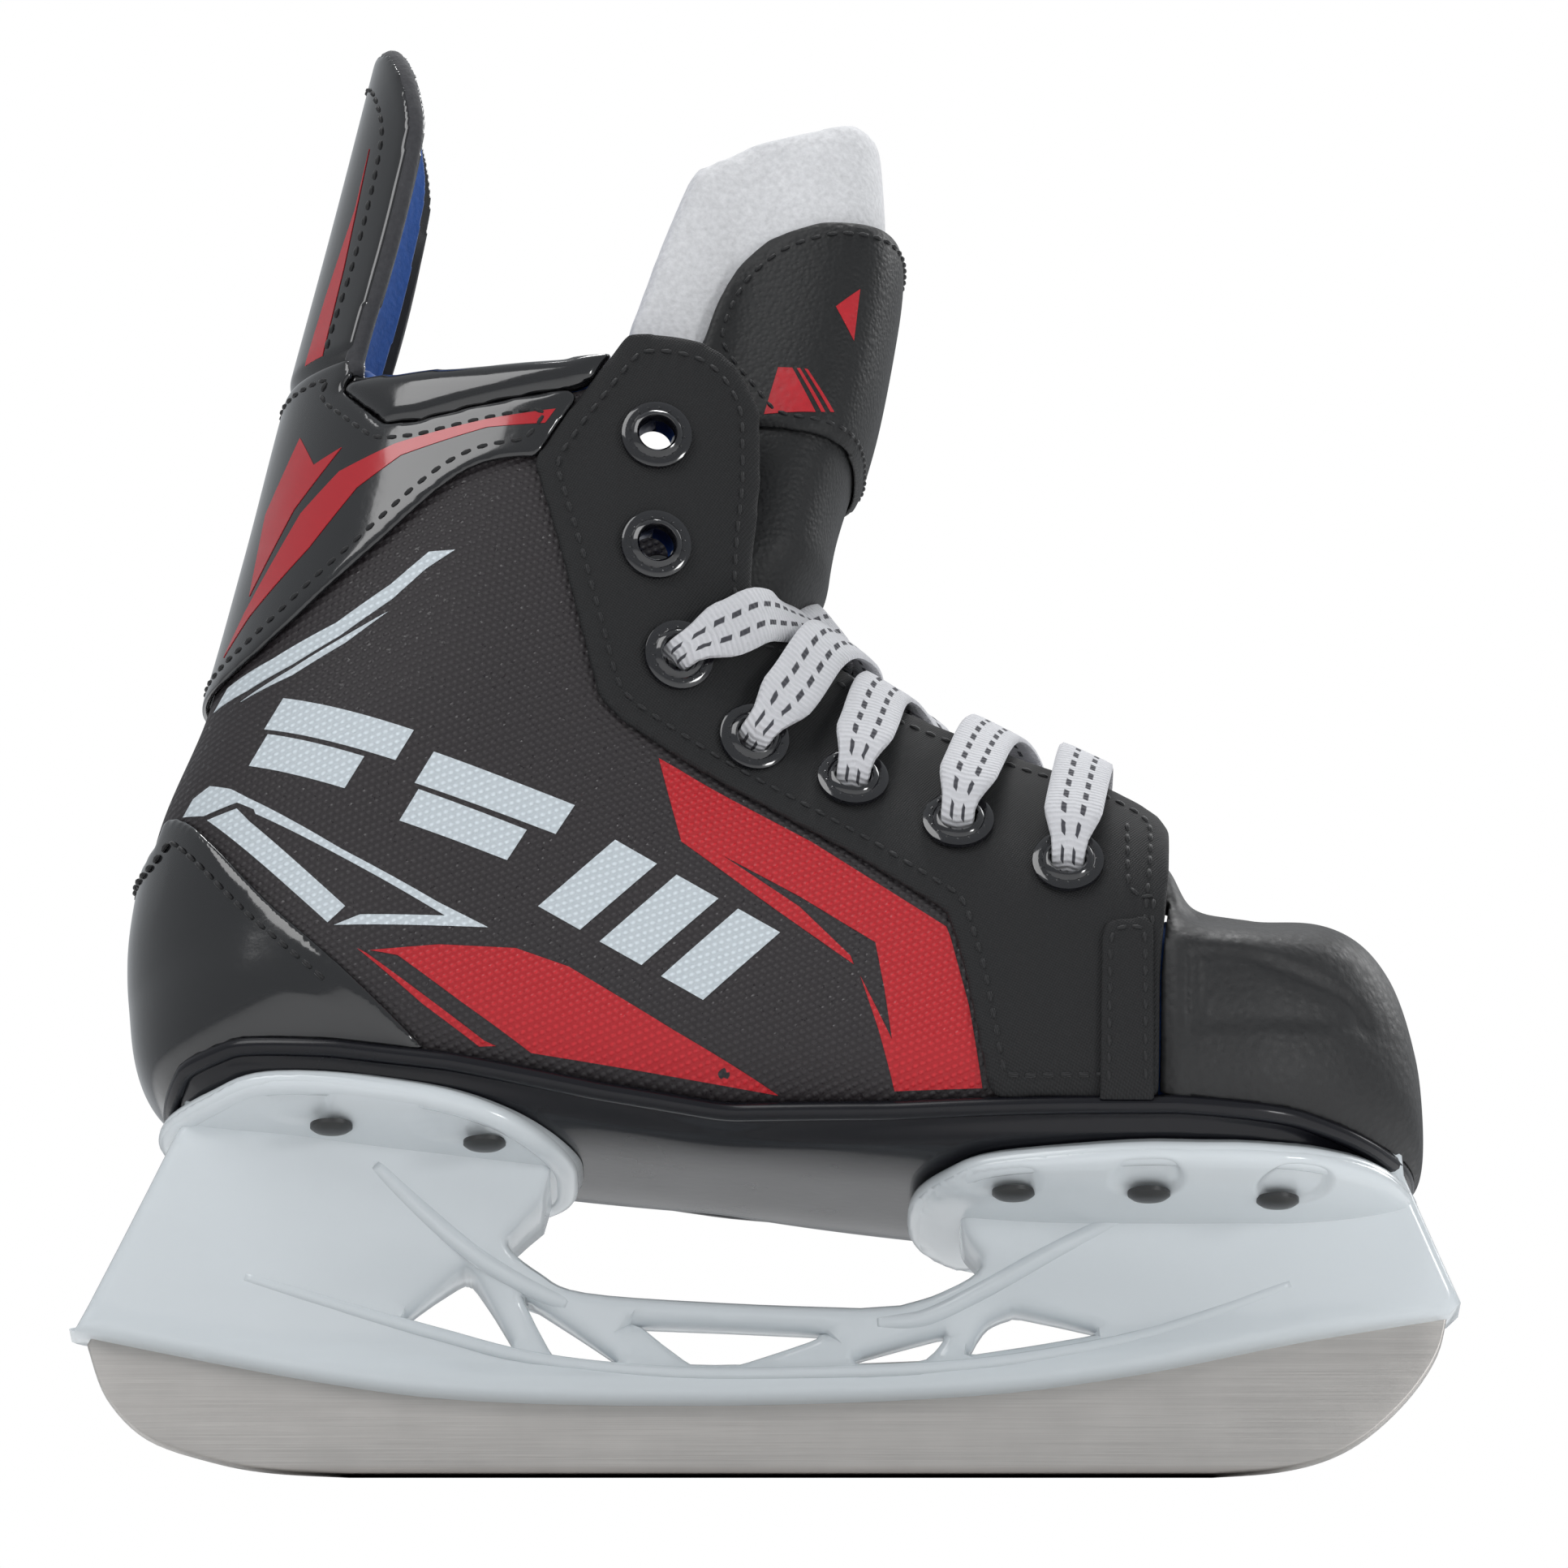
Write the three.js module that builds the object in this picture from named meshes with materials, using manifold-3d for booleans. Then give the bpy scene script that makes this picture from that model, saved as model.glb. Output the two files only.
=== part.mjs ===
// Youth ice hockey skate, right foot, laced over the lower five rows.
// Units are millimetres. +X points to the toe, -Y to the outer (lateral) side, +Z up.
// The origin is the middle of the runner's flat ice edge.
import * as THREE from 'three';
import { mergeVertices } from 'three/addons/utils/BufferGeometryUtils.js';
import Module from 'manifold-3d';

const wasm = await Module();
wasm.setup();

// ---------------------------------------------------------------- driving dimensions
const RUNNER_LENGTH = 212; // over the holder's two tips
const BOOT_HEIGHT = 233; // ice edge to the top of the tendon guard
const BALL_WIDTH = 72; // boot over the ball of the foot

const RUNNER_THICKNESS = 3;
const RUNNER_SEAT_DEPTH = 6; // how far the runner stands in the holder's slot
const SLOT_CLEARANCE = 0.3; // each side of the runner, its lugs and its studs
const GAP = 0.3; // between pieces that touch

const QUARTER_WALL = 2;
const LINING_WALL = 2.7;
const INSOLE_WALL = 3;
const OVERLAY_WALL = 1.3; // eyestay, heel counter, topline
const COLLAR_CROWN = 1.8; // how far the padded collar stands out of the quarter
const TOE_CAP_WALL = 3.2;
const TOE_CAP_STEP = 1.2; // how far the toe cap stands out of the vamp
const STRAP_WALL = 0.8;
const OUTSOLE_WALL = 2.3;
const FLANGE_WALL = 4;
const GUARD_FELT_WALL = 3.7;
const FACING_WALL = 1.2;
const FELT_WALL = 6;

const EYELET_BORE = 5.6;
const EYELET_BARREL = 7;
const EYELET_FLANGE = 11.1;
const EYELET_FLANGE_WALL = 1;
const EYELET_STANDOFF = 0.8; // the flat flange over the curved eyestay
const EYELET_TAIL_LENGTH = 0.9; // inside the quarter

const RIVET_HEAD = 6.5;
const RIVET_SHANK = 3.6;
const RIVET_HEAD_WALL = 1.2;
const CLINCH_HEIGHT = 0.8; // a rivet's end over the lasted sole
const CLINCH_ROOM = 1.6; // round and over that end, in the lining

const STUD_DIAMETER = 6;
const STUD_THREAD = 4;
const STUD_PIN = 2;
const STUD_SHOULDER = 3; // full diameter above the runner's lug
const NUT_RADIUS = 4.6;
const NUT_HEIGHT = 4;
const TOWER_WALL = 2.5;

const LACE_TUBE = 3;
const AGLET_DIAMETER = 3.4;
const AGLET_LENGTH = 18;

const ROUND = 10; // sides of eyelets and rivets
const HOLE_SIDES = 8;

// ---------------------------------------------------------------- grading
// The outlines are drawn for the base size and graded, as a boot pattern is.
const PATTERN = { length: 212, height: 233, width: 72 };
const GRADE = {
  x: RUNNER_LENGTH / PATTERN.length,
  y: BALL_WIDTH / PATTERN.width,
  z: BOOT_HEIGHT / PATTERN.height,
};
const gradeXZ = ([x, z]) => [x * GRADE.x, z * GRADE.z];

// ---------------------------------------------------------------- pattern lines, side view (x, z)
const COLLAR_TOP = [[-64, 171.5], [-56, 170.5], [-43.5, 170], [-31, 170.8], [-23.4, 172.3]];
const COLLAR_SEAM = [[-66, 170], [-62, 165.2], [-58.7, 161.6], [-53.5, 161.3], [-43.4, 163.1], [-26, 166]];
const EYESTAY_TOP = [[-23.4, 172.3], [-21.6, 174.6], [-12, 174], [-5.8, 170.2], [-2, 163]];
const THROAT = [[-2, 151], [-2.8, 130], [6.8, 126], [20.6, 117], [36.3, 109.8], [51.9, 103.2], [60, 97.9]];
const EYESTAY_INNER = [
  [33.8, 40], [33.8, 52], [30.1, 70], [27.2, 79.5], [12.9, 89.2], [0.5, 96.7],
  [-14.4, 105.5], [-23, 111], [-26.2, 114.5], [-32, 138], [-36.1, 153], [-30.9, 161.5],
];
const TOE_JOINT = [[61.6, 94.6], [61.2, 86], [59.6, 70], [59.3, 51.5], [59.3, 30]];
const FEATHER = [
  [-120, 55], [-91, 57.5], [-88, 61], [-80, 62.6], [-65, 61.5], [-47.5, 59.2], [-25, 55], [-5.6, 52],
  [19, 51.2], [62, 51.2], [80, 50.2], [93, 48.5], [120, 47],
];
const COUNTER_TOP = [[-110, 96], [-95, 97.4], [-90.7, 101.5], [-76.4, 84.4], [-63.8, 71.8], [-45, 54]];
const TOPLINE_LOWER = [
  [-20, 152.5], [-38.3, 153.7], [-48.3, 150.7], [-63.3, 138.1], [-84, 124], [-110, 122],
];
const GUARD_EDGE = [
  [-64.3, 175.5], [-63, 181], [-60.5, 189.5], [-58.2, 199], [-56.3, 209], [-55.5, 217], [-57.3, 226],
];
const FLEX_HEIGHT = { tongue: 138, guard: 175.5 };
const FLEX_SLIT = 0.4;

// ---------------------------------------------------------------- the boot form
// Sections fan from the leg opening round the heel to the toe. Each runs from a point on the front or
// upper ridge to one on the back or sole; round holds its two superellipse powers.
const SECTIONS = [
  { front: [25, 240], back: [-59, 242], half: 27, round: [2.4, 2], shift: 0 },
  { front: [21.5, 205], back: [-67.5, 204.5], half: 28.5, round: [2.6, 2], shift: 0 },
  { front: [16.5, 174], back: [-75.5, 171], half: 31, round: [2.8, 2], shift: 0 },
  { front: [10.5, 152], back: [-81, 147], half: 33, round: [2.8, 2], shift: 0 },
  { front: [9.5, 137], back: [-87.5, 122], half: 34, round: [2.5, 2], shift: 0 },
  { front: [13.5, 129.5], back: [-95.5, 100], half: 34, round: [2.3, 2], shift: 0 },
  { front: [21, 123.5], back: [-97, 76], half: 32.5, round: [2.2, 2.1], shift: 0 },
  { front: [27, 120.8], back: [-91, 57.5], half: 31.5, round: [2.2, 2.6], shift: 0 },
  { front: [33, 118], back: [-64, 53.5], half: 31.5, round: [2.2, 3.2], shift: 0 },
  { front: [44, 112], back: [-17, 49.5], half: 33, round: [2.2, 3.8], shift: 0.5 },
  { front: [53.5, 107], back: [33, 45], half: 35.5, round: [2.3, 4], shift: 1 },
  { front: [60.5, 101.5], back: [60, 44.5], half: 36, round: [2.4, 4], shift: 1.4 },
  { front: [65, 93], back: [70, 44.5], half: 35.5, round: [2.5, 3.8], shift: 1.7 },
  { front: [75, 91], back: [79, 44.5], half: 34, round: [2.5, 3.6], shift: 2.2 },
  { front: [86.5, 87.5], back: [89, 45.5], half: 29.5, round: [2.4, 3.2], shift: 3 },
  { front: [94.5, 78], back: [96.5, 47.5], half: 21.5, round: [2.3, 2.8], shift: 3.5 },
  { front: [98.5, 67], back: [99.5, 50], half: 12, round: [2.2, 2.4], shift: 4 },
  { front: [99.8, 58], back: [99.8, 57], half: 0.5, round: [2, 2], shift: 4 },
];
const SECTION_ROWS = SECTIONS.map(({ front, back, half, round, shift }) => [
  ...gradeXZ(front), ...gradeXZ(back), half * GRADE.y, ...round, shift * GRADE.y,
]);
const TOE_START = 11; // the section from which the form closes towards the toe
const RINGS = 18;
const SPOKES = 18;

// Catmull-Rom value between the sections, at a position counted in sections.
function sectionAt(position) {
  const last = SECTION_ROWS.length - 1;
  const low = Math.min(Math.floor(position), last - 1);
  const t = position - low;
  const row = (index) => SECTION_ROWS[Math.min(Math.max(index, 0), last)];
  return row(low).map((p1, k) => {
    const p2 = row(low + 1)[k];
    const p0 = low === 0 ? 2 * p1 - p2 : row(low - 1)[k];
    const p3 = low + 2 > last ? 2 * p2 - p1 : row(low + 2)[k];
    const linear = (p2 - p0) * t;
    const square = (2 * p0 - 5 * p1 + 4 * p2 - p3) * t * t;
    const cube = (3 * p1 - p0 - 3 * p2 + p3) * t * t * t;
    return 0.5 * (2 * p1 + linear + square + cube);
  });
}

// A point of the surface that lies an offset outside the form; turn runs round the section from the front.
function formPoint(position, turn, offset) {
  const [fx, fz, bx, bz, half, powerFront, powerBack, shift] = sectionAt(position);
  const depth = Math.hypot(fx - bx, fz - bz);
  const away = typeof offset === 'function' ? offset(fz, turn) : offset;
  const toe = THREE.MathUtils.smoothstep(position, TOE_START, SECTION_ROWS.length - 1.5);
  const radial = Math.max(depth / 2 + away, 0.6);
  const across = Math.max(half + away, 0.6);
  const c = Math.cos(turn);
  const s = Math.sin(turn);
  const power = c > 0 ? powerFront : powerBack;
  const along = Math.sign(c) * Math.abs(c) ** (2 / power) * radial;
  const side = Math.sign(s) * Math.abs(s) ** (2 / power) * across;
  const [ux, uz] = depth > 2 ? [(fx - bx) / depth, (fz - bz) / depth] : [0, 1];
  return [(fx + bx) / 2 + ux * along + toe * away, shift - side, (fz + bz) / 2 + uz * along];
}

// ---------------------------------------------------------------- solids
function solidOf(geometry) {
  const bare = geometry.clone();
  for (const name of ['normal', 'uv']) bare.deleteAttribute(name);
  const merged = mergeVertices(bare, 1e-4);
  const vertProperties = new Float32Array(merged.attributes.position.array);
  const triVerts = new Uint32Array(merged.index.array);
  const solid = new wasm.Manifold(new wasm.Mesh({ numProp: 3, vertProperties, triVerts }));
  if (solid.volume() > 0) return solid;
  for (let i = 0; i < triVerts.length; i += 3) {
    [triVerts[i + 1], triVerts[i + 2]] = [triVerts[i + 2], triVerts[i + 1]];
  }
  return new wasm.Manifold(new wasm.Mesh({ numProp: 3, vertProperties, triVerts }));
}

// The form grown by an offset, closed by a lid over the leg opening and a point at the toe.
function formSolid(offset) {
  const points = [];
  const faces = [];
  const lastPosition = SECTION_ROWS.length - 1;
  for (let ring = 0; ring < RINGS; ring++) {
    for (let spoke = 0; spoke < SPOKES; spoke++) {
      const turn = (2 * Math.PI * spoke) / SPOKES;
      points.push(formPoint((lastPosition * ring) / RINGS, turn, offset));
    }
  }
  const at = (ring, spoke) => ring * SPOKES + (spoke % SPOKES);
  for (let ring = 0; ring < RINGS - 1; ring++) {
    for (let spoke = 0; spoke < SPOKES; spoke++) {
      faces.push([at(ring, spoke), at(ring + 1, spoke), at(ring + 1, spoke + 1)]);
      faces.push([at(ring, spoke), at(ring + 1, spoke + 1), at(ring, spoke + 1)]);
    }
  }
  const [fx, fz, bx, bz] = sectionAt(0);
  const lid = points.push([(fx + bx) / 2, 0, (fz + bz) / 2]) - 1;
  const end = sectionAt(lastPosition);
  const tipOffset = typeof offset === 'function' ? offset(end[1], 0) : offset;
  const tip = points.push([end[0] + tipOffset, end[7], (end[1] + end[3]) / 2]) - 1;
  for (let spoke = 0; spoke < SPOKES; spoke++) {
    faces.push([lid, at(0, spoke), at(0, spoke + 1)]);
    faces.push([tip, at(RINGS - 1, spoke + 1), at(RINGS - 1, spoke)]);
  }
  const geometry = new THREE.BufferGeometry();
  geometry.setAttribute('position', new THREE.Float32BufferAttribute(points.flat(), 3));
  geometry.setIndex(faces.flat());
  return solidOf(geometry);
}

const formCache = new Map();
function form(offset) {
  if (!formCache.has(offset)) formCache.set(offset, formSolid(offset));
  return formCache.get(offset);
}
const shell = (outer, inner) => form(outer).subtract(form(inner));

// Prisms: an outline seen from the side (x, z), from above (x, y) or from the front (y, z).
const REACH = 60 * Math.max(GRADE.y, 1);
function extruded(outline, depth) {
  const shape = new THREE.Shape(outline.map(([a, b]) => new THREE.Vector2(a, b)));
  return new THREE.ExtrudeGeometry(shape, { depth, bevelEnabled: false, curveSegments: ROUND });
}
function sidePrism(outline, yLow = -REACH, yHigh = REACH) {
  return solidOf(extruded(outline, yHigh - yLow).rotateX(Math.PI / 2).translate(0, yHigh, 0));
}
function topPrism(outline, zLow, zHigh) {
  return solidOf(extruded(outline, zHigh - zLow).translate(0, 0, zLow));
}
function frontPrism(outline, xLow, xHigh) {
  const turned = new THREE.Matrix4().makeBasis(
    new THREE.Vector3(0, 1, 0), new THREE.Vector3(0, 0, 1), new THREE.Vector3(1, 0, 0),
  );
  return solidOf(extruded(outline, xHigh - xLow).applyMatrix4(turned).translate(xLow, 0, 0));
}

// A cylinder between two heights on an axis that starts at a point and follows a direction.
function rod(radius, origin, direction, low, high, sides = HOLE_SIDES) {
  const geometry = new THREE.CylinderGeometry(radius, radius, high - low, sides);
  geometry.translate(0, (low + high) / 2, 0);
  return solidOf(placed(geometry, origin, direction));
}
function placed(geometry, origin, direction) {
  const turn = new THREE.Quaternion().setFromUnitVectors(new THREE.Vector3(0, 1, 0), direction);
  return geometry.applyQuaternion(turn).translate(...origin);
}
const UP = new THREE.Vector3(0, 0, 1);

// The outline drawn in by a distance, corners mitred.
function inset(outline, distance) {
  const area = outline.reduce((sum, [x, z], i) => {
    const [nx, nz] = outline[(i + 1) % outline.length];
    return sum + x * nz - nx * z;
  }, 0);
  const inward = Math.sign(area) * distance;
  return outline.map((point, i) => {
    const before = outline[(i + outline.length - 1) % outline.length];
    const after = outline[(i + 1) % outline.length];
    const edgeIn = new THREE.Vector2(point[0] - before[0], point[1] - before[1]).normalize();
    const edgeOut = new THREE.Vector2(after[0] - point[0], after[1] - point[1]).normalize();
    const normalIn = new THREE.Vector2(-edgeIn.y, edgeIn.x);
    const normalOut = new THREE.Vector2(-edgeOut.y, edgeOut.x);
    const mitre = normalIn.clone().add(normalOut).normalize();
    const length = inward / Math.max(mitre.dot(normalIn), 0.4);
    return [point[0] + mitre.x * length, point[1] + mitre.y * length];
  });
}
const shifted = (line, dx, dz) => line.map(([x, z]) => [x + dx, z + dz]);
const graded = (outline) => outline.map(gradeXZ);

// ---------------------------------------------------------------- regions, side view
const FAR = 130 * Math.max(GRADE.x, 1);
const LOW = 20 * GRADE.z;
const HIGH = 260 * GRADE.z;
const flexZ = { tongue: FLEX_HEIGHT.tongue * GRADE.z, guard: FLEX_HEIGHT.guard * GRADE.z };

const featherLine = graded(FEATHER);
const belowFeather = [...featherLine, [FAR, LOW], [-FAR, LOW]];
const aboveFeather = [...shifted(featherLine, 0, GAP), [FAR, HIGH], [-FAR, HIGH]];
const eyestayOutline = graded([...EYESTAY_TOP, ...THROAT, ...TOE_JOINT, ...EYESTAY_INNER]);
const collarOutline = graded([...COLLAR_TOP, ...COLLAR_SEAM.slice().reverse()]);
const frontOfJoint = [
  ...shifted(graded(TOE_JOINT), GAP, 0), [FAR, LOW], [FAR, 95 * GRADE.z],
];
const counterOutline = [...graded(COUNTER_TOP), [-45 * GRADE.x, LOW], [-FAR, LOW]];
const toplineOutline = [
  ...graded(TOPLINE_LOWER), [-FAR, flexZ.guard - FLEX_SLIT], [-64.3 * GRADE.x, flexZ.guard - FLEX_SLIT],
  ...graded([[-64.3, 172], ...COLLAR_SEAM, [-20, 167]]),
];
const guardOutline = [
  ...graded(GUARD_EDGE), [-60 * GRADE.x, BOOT_HEIGHT], [-FAR, BOOT_HEIGHT], [-FAR, flexZ.guard],
];
const quarterOutline = [
  ...graded(EYESTAY_TOP), ...graded(THROAT), ...graded(TOE_JOINT), [-FAR, LOW],
  [-FAR, flexZ.guard - FLEX_SLIT], [-66 * GRADE.x, flexZ.guard - FLEX_SLIT],
  ...graded(COLLAR_SEAM),
];
const liningOutline = [
  ...graded([...COLLAR_TOP.slice(0, -1), [-24, 171], [-25.5, 160], [-26, 134], [-24, 117], [-12, 102]]),
  ...graded([[6, 93], [26, 85], [44, 77.5], [56, 76], [63, 88], [80, 96]]),
  [FAR, 96 * GRADE.z], [FAR, LOW], [-FAR, LOW],
  [-FAR, flexZ.guard - FLEX_SLIT], [-64.3 * GRADE.x, flexZ.guard - FLEX_SLIT],
];
const strapOutline = graded([[50.5, 48], [50.8, 75.5], [58.6, 77.5], [58.6, 48]]);

// ---------------------------------------------------------------- sole opening
// The quarters are lasted under the foot and leave this opening, which the lasting board fills.
const LAST_OPENING = [
  [-74, 0], [-70, 10], [-58, 15], [-20, 15], [20, 17], [60, 19], [76, 14], [83, 6],
];
const bothSides = (half) => [...half, ...half.slice().reverse().map(([x, y]) => [x, -y])]
  .filter(([x, y], i, all) => !(y === 0 && i && all[i - 1][1] === 0 && all[i - 1][0] === x));
const lastOpening = bothSides(LAST_OPENING).map(([x, y]) => [x * GRADE.x, y * GRADE.y]);
const SOLE_TOP = 66 * GRADE.z;
const lastSlot = topPrism(lastOpening, LOW, SOLE_TOP);

// ---------------------------------------------------------------- boot upper
const lateral = sidePrism([[-FAR, 0], [FAR, 0], [FAR, HIGH], [-FAR, HIGH]], -REACH, -GAP / 2);
const medial = sidePrism([[-FAR, 0], [FAR, 0], [FAR, HIGH], [-FAR, HIGH]], GAP / 2, REACH);
const SIDES = { lateral, medial };
const SIDE_SIGN = { lateral: -1, medial: 1 };

const overlayOuter = GAP + OVERLAY_WALL;
const liningOuter = -(QUARTER_WALL + GAP);
const liningInner = liningOuter - LINING_WALL;
const soleOuter = GAP + OUTSOLE_WALL;
const holderTop = soleOuter + GAP;
const eyestayPrism = sidePrism(eyestayOutline);

const quarterShell = shell(0, -QUARTER_WALL).intersect(sidePrism(quarterOutline))
  .subtract(lastSlot);
const liningShell = shell(liningOuter, liningInner).intersect(sidePrism(liningOutline));
const overlayShell = shell(overlayOuter, GAP).intersect(sidePrism(aboveFeather));
const eyestayShell = overlayShell.intersect(sidePrism(inset(eyestayOutline, GAP)));
const counterShell = overlayShell.intersect(sidePrism(counterOutline));
const toplineShell = overlayShell.intersect(sidePrism(toplineOutline)).subtract(eyestayPrism);
const collarShell = shell(COLLAR_CROWN, -QUARTER_WALL)
  .intersect(sidePrism(inset(collarOutline, GAP)))
  .subtract(eyestayPrism);
const strapShell = shell(overlayOuter + GAP + STRAP_WALL, overlayOuter + GAP)
  .intersect(sidePrism(strapOutline)).intersect(sidePrism(aboveFeather));
const capSkirt = shell(0, -QUARTER_WALL).subtract(lastSlot);
const toeCap = shell(TOE_CAP_STEP, TOE_CAP_STEP - TOE_CAP_WALL)
  .intersect(sidePrism(aboveFeather)).add(capSkirt).intersect(sidePrism(frontOfJoint));
const lastingBoard = shell(0, -QUARTER_WALL)
  .intersect(topPrism(inset(lastOpening, GAP), LOW, SOLE_TOP));
const insoleTop = liningInner - GAP;
const insole = shell(insoleTop, insoleTop - INSOLE_WALL).intersect(sidePrism(graded([
  [-120, 20], [-120, 63], [-60, 62], [-20, 58], [20, 55], [60, 54.5], [120, 54], [120, 20],
])));

// ---------------------------------------------------------------- tongue
// Behind the eyestays the tongue lies deep enough for the lace to run between them.
const TONGUE_TUCK = -11.5;
const TONGUE_SINK = -7; // how far its middle lies under the lower lace rows
const tongueOffset = (depth) => (ridgeZ, turn) => {
  const sink = TONGUE_SINK * (1 - THREE.MathUtils.smoothstep(ridgeZ, 130 * GRADE.z, 146 * GRADE.z));
  const aside = 1 - Math.cos(Math.min(Math.abs(wrapped(turn)), Math.PI / 2));
  const tuck = THREE.MathUtils.smoothstep(aside, 0.05, 0.5);
  return sink + (TONGUE_TUCK - sink) * tuck - depth;
};
const wrapped = (turn) => (turn > Math.PI ? turn - 2 * Math.PI : turn);
const TONGUE_OUTLINE = [
  [56, 112], [56, 92], [40, 96], [22, 104], [4, 112], [-10, 120], [-17, 134], [-19, 160], [-19.5, 178],
  [-16, 188], [-12, 197.5], [-7, 206], [0, 212.5], [6, 217.5], [12, 219], [20, 217], [34, 206], [34, 150],
  [22, 128],
];
const FACING_OUTLINE = [
  [54, 112], [54, 96], [36, 102], [22, 107], [6, 114], [-6, 124], [-10, 140], [-7, 160], [-5, 175],
  [-1, 185], [3, 192], [8, 195], [34, 195], [34, 150], [22, 128],
];
const BADGE_OUTLINE = [
  [-5, 176.5], [-2, 185], [1.8, 193], [6.5, 196.6], [34, 197], [34, 161], [14, 161], [-3.3, 165.5],
];
const tongueLevels = {
  facing: [tongueOffset(0), tongueOffset(FACING_WALL)],
  felt: [tongueOffset(FACING_WALL + GAP), tongueOffset(FACING_WALL + GAP + FELT_WALL)],
  badge: [tongueOffset(-GAP - FACING_WALL), tongueOffset(-GAP)],
};
const frontHalf = sidePrism([
  ...graded([[-22, 240], [-22, 170], [-20, 130], [4, 104], [54, 84]]), [FAR, 84 * GRADE.z], [FAR, HIGH],
]);
const TONGUE_FRONT = [[27, 90], [27, 184], [25.5, 195], [21, 206], [14, 214], [6, 218.3]];
const mirrored = (half) => [...half, ...half.slice().reverse().map(([y, z]) => [-y, z])];
const gradedFront = (half) => mirrored(half).map(([y, z]) => [y * GRADE.y, z * GRADE.z]);
const tongueArch = frontPrism(gradedFront(TONGUE_FRONT), -FAR, FAR);
const tongueLayer = (level, outline) => shell(...tongueLevels[level])
  .intersect(sidePrism(graded(outline))).intersect(frontHalf).intersect(tongueArch);
const GUARD_FRONT = [[24, 170], [22, 190], [19.5, 210], [16, 224], [9, 231], [3, 233]];
const guardArch = frontPrism(gradedFront(GUARD_FRONT), -FAR, FAR);
const guardLayer = (outer, inner) => shell(outer, inner)
  .intersect(sidePrism(guardOutline)).intersect(guardArch);
const guardShell = guardLayer(overlayOuter, -QUARTER_WALL);
const guardFelt = guardLayer(liningOuter, liningOuter - GUARD_FELT_WALL);
const aboveTongueFlex = sidePrism([
  [-FAR, flexZ.tongue], [FAR, flexZ.tongue], [FAR, HIGH], [-FAR, HIGH],
]);
const belowTongueFlex = sidePrism([
  [-FAR, flexZ.tongue - FLEX_SLIT], [FAR, flexZ.tongue - FLEX_SLIT], [FAR, LOW], [-FAR, LOW],
]);
const tongueFelt = tongueLayer('felt', TONGUE_OUTLINE);
const tongueFacing = tongueLayer('facing', FACING_OUTLINE);
const tongueBadge = tongueLayer('badge', BADGE_OUTLINE);

// ---------------------------------------------------------------- places on the form
// Where a line along Y meets the form on one side, and the outward direction there.
function sideOfForm(x, z, sign, offset) {
  const reach = (dx, dz) => {
    const probe = sidePrism([
      [x + dx - 0.05, z + dz - 0.05], [x + dx + 0.05, z + dz - 0.05],
      [x + dx + 0.05, z + dz + 0.05], [x + dx - 0.05, z + dz + 0.05],
    ], sign < 0 ? -REACH : 0, sign < 0 ? 0 : REACH);
    const box = probe.intersect(form(offset)).boundingBox();
    return sign < 0 ? box.min[1] : box.max[1];
  };
  const step = 3;
  const slopeX = (reach(step, 0) - reach(-step, 0)) / (2 * step);
  const slopeZ = (reach(0, step) - reach(0, -step)) / (2 * step);
  const direction = new THREE.Vector3(-slopeX, 1, -slopeZ).normalize().multiplyScalar(sign);
  return { point: [x, reach(0, 0), z], direction };
}

// The lowest height of the underside of the grown form over a small square round a point.
function undersideOfForm(x, y, offset, half = 0.1) {
  const probe = topPrism([
    [x - half, y - half], [x + half, y - half], [x + half, y + half], [x - half, y + half],
  ], LOW, SOLE_TOP);
  return probe.intersect(form(offset)).boundingBox().min[2];
}

// ---------------------------------------------------------------- eyelets
const EYELETS = [
  [-17.4, 157], [-17.6, 139], [-14.2, 121.5], [-2.6, 109], [12.9, 101.8], [29.1, 94.2], [45.8, 86.7],
];
const EYELET_SEAT = overlayOuter + EYELET_STANDOFF;
const EYELET_TAIL = -(QUARTER_WALL + EYELET_TAIL_LENGTH);
function eyeletGeometry() {
  const bore = EYELET_BORE / 2;
  const barrel = EYELET_BARREL / 2;
  const flange = EYELET_FLANGE / 2;
  const top = EYELET_SEAT + EYELET_FLANGE_WALL;
  const profile = [
    [bore, EYELET_TAIL], [barrel, EYELET_TAIL], [barrel, EYELET_SEAT], [flange, EYELET_SEAT],
    [barrel + 0.5, top], [bore, top], [bore, EYELET_TAIL],
  ];
  return new THREE.LatheGeometry(profile.map(([r, y]) => new THREE.Vector2(r, y)), ROUND);
}
const eyelets = [];
const eyeletHoles = { lateral: [], medial: [] };
for (const [side, sign] of Object.entries(SIDE_SIGN)) {
  EYELETS.forEach((place, row) => {
    const { point, direction } = sideOfForm(...gradeXZ(place), sign, 0);
    const solid = solidOf(placed(eyeletGeometry(), point, direction));
    eyelets.push([`eyelet_${side}_${row + 1}`, solid]);
    eyeletHoles[side].push({ point, direction });
  });
}
const HOLE_CLEARANCE = 0.4;
const drilled = (solid, side, radius) => eyeletHoles[side].reduce(
  (body, { point, direction }) => body.subtract(rod(radius, point, direction, -8, 5)), solid,
);
const eyestay = (side) => drilled(
  eyestayShell.intersect(SIDES[side]), side, EYELET_BARREL / 2 + HOLE_CLEARANCE,
);

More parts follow.
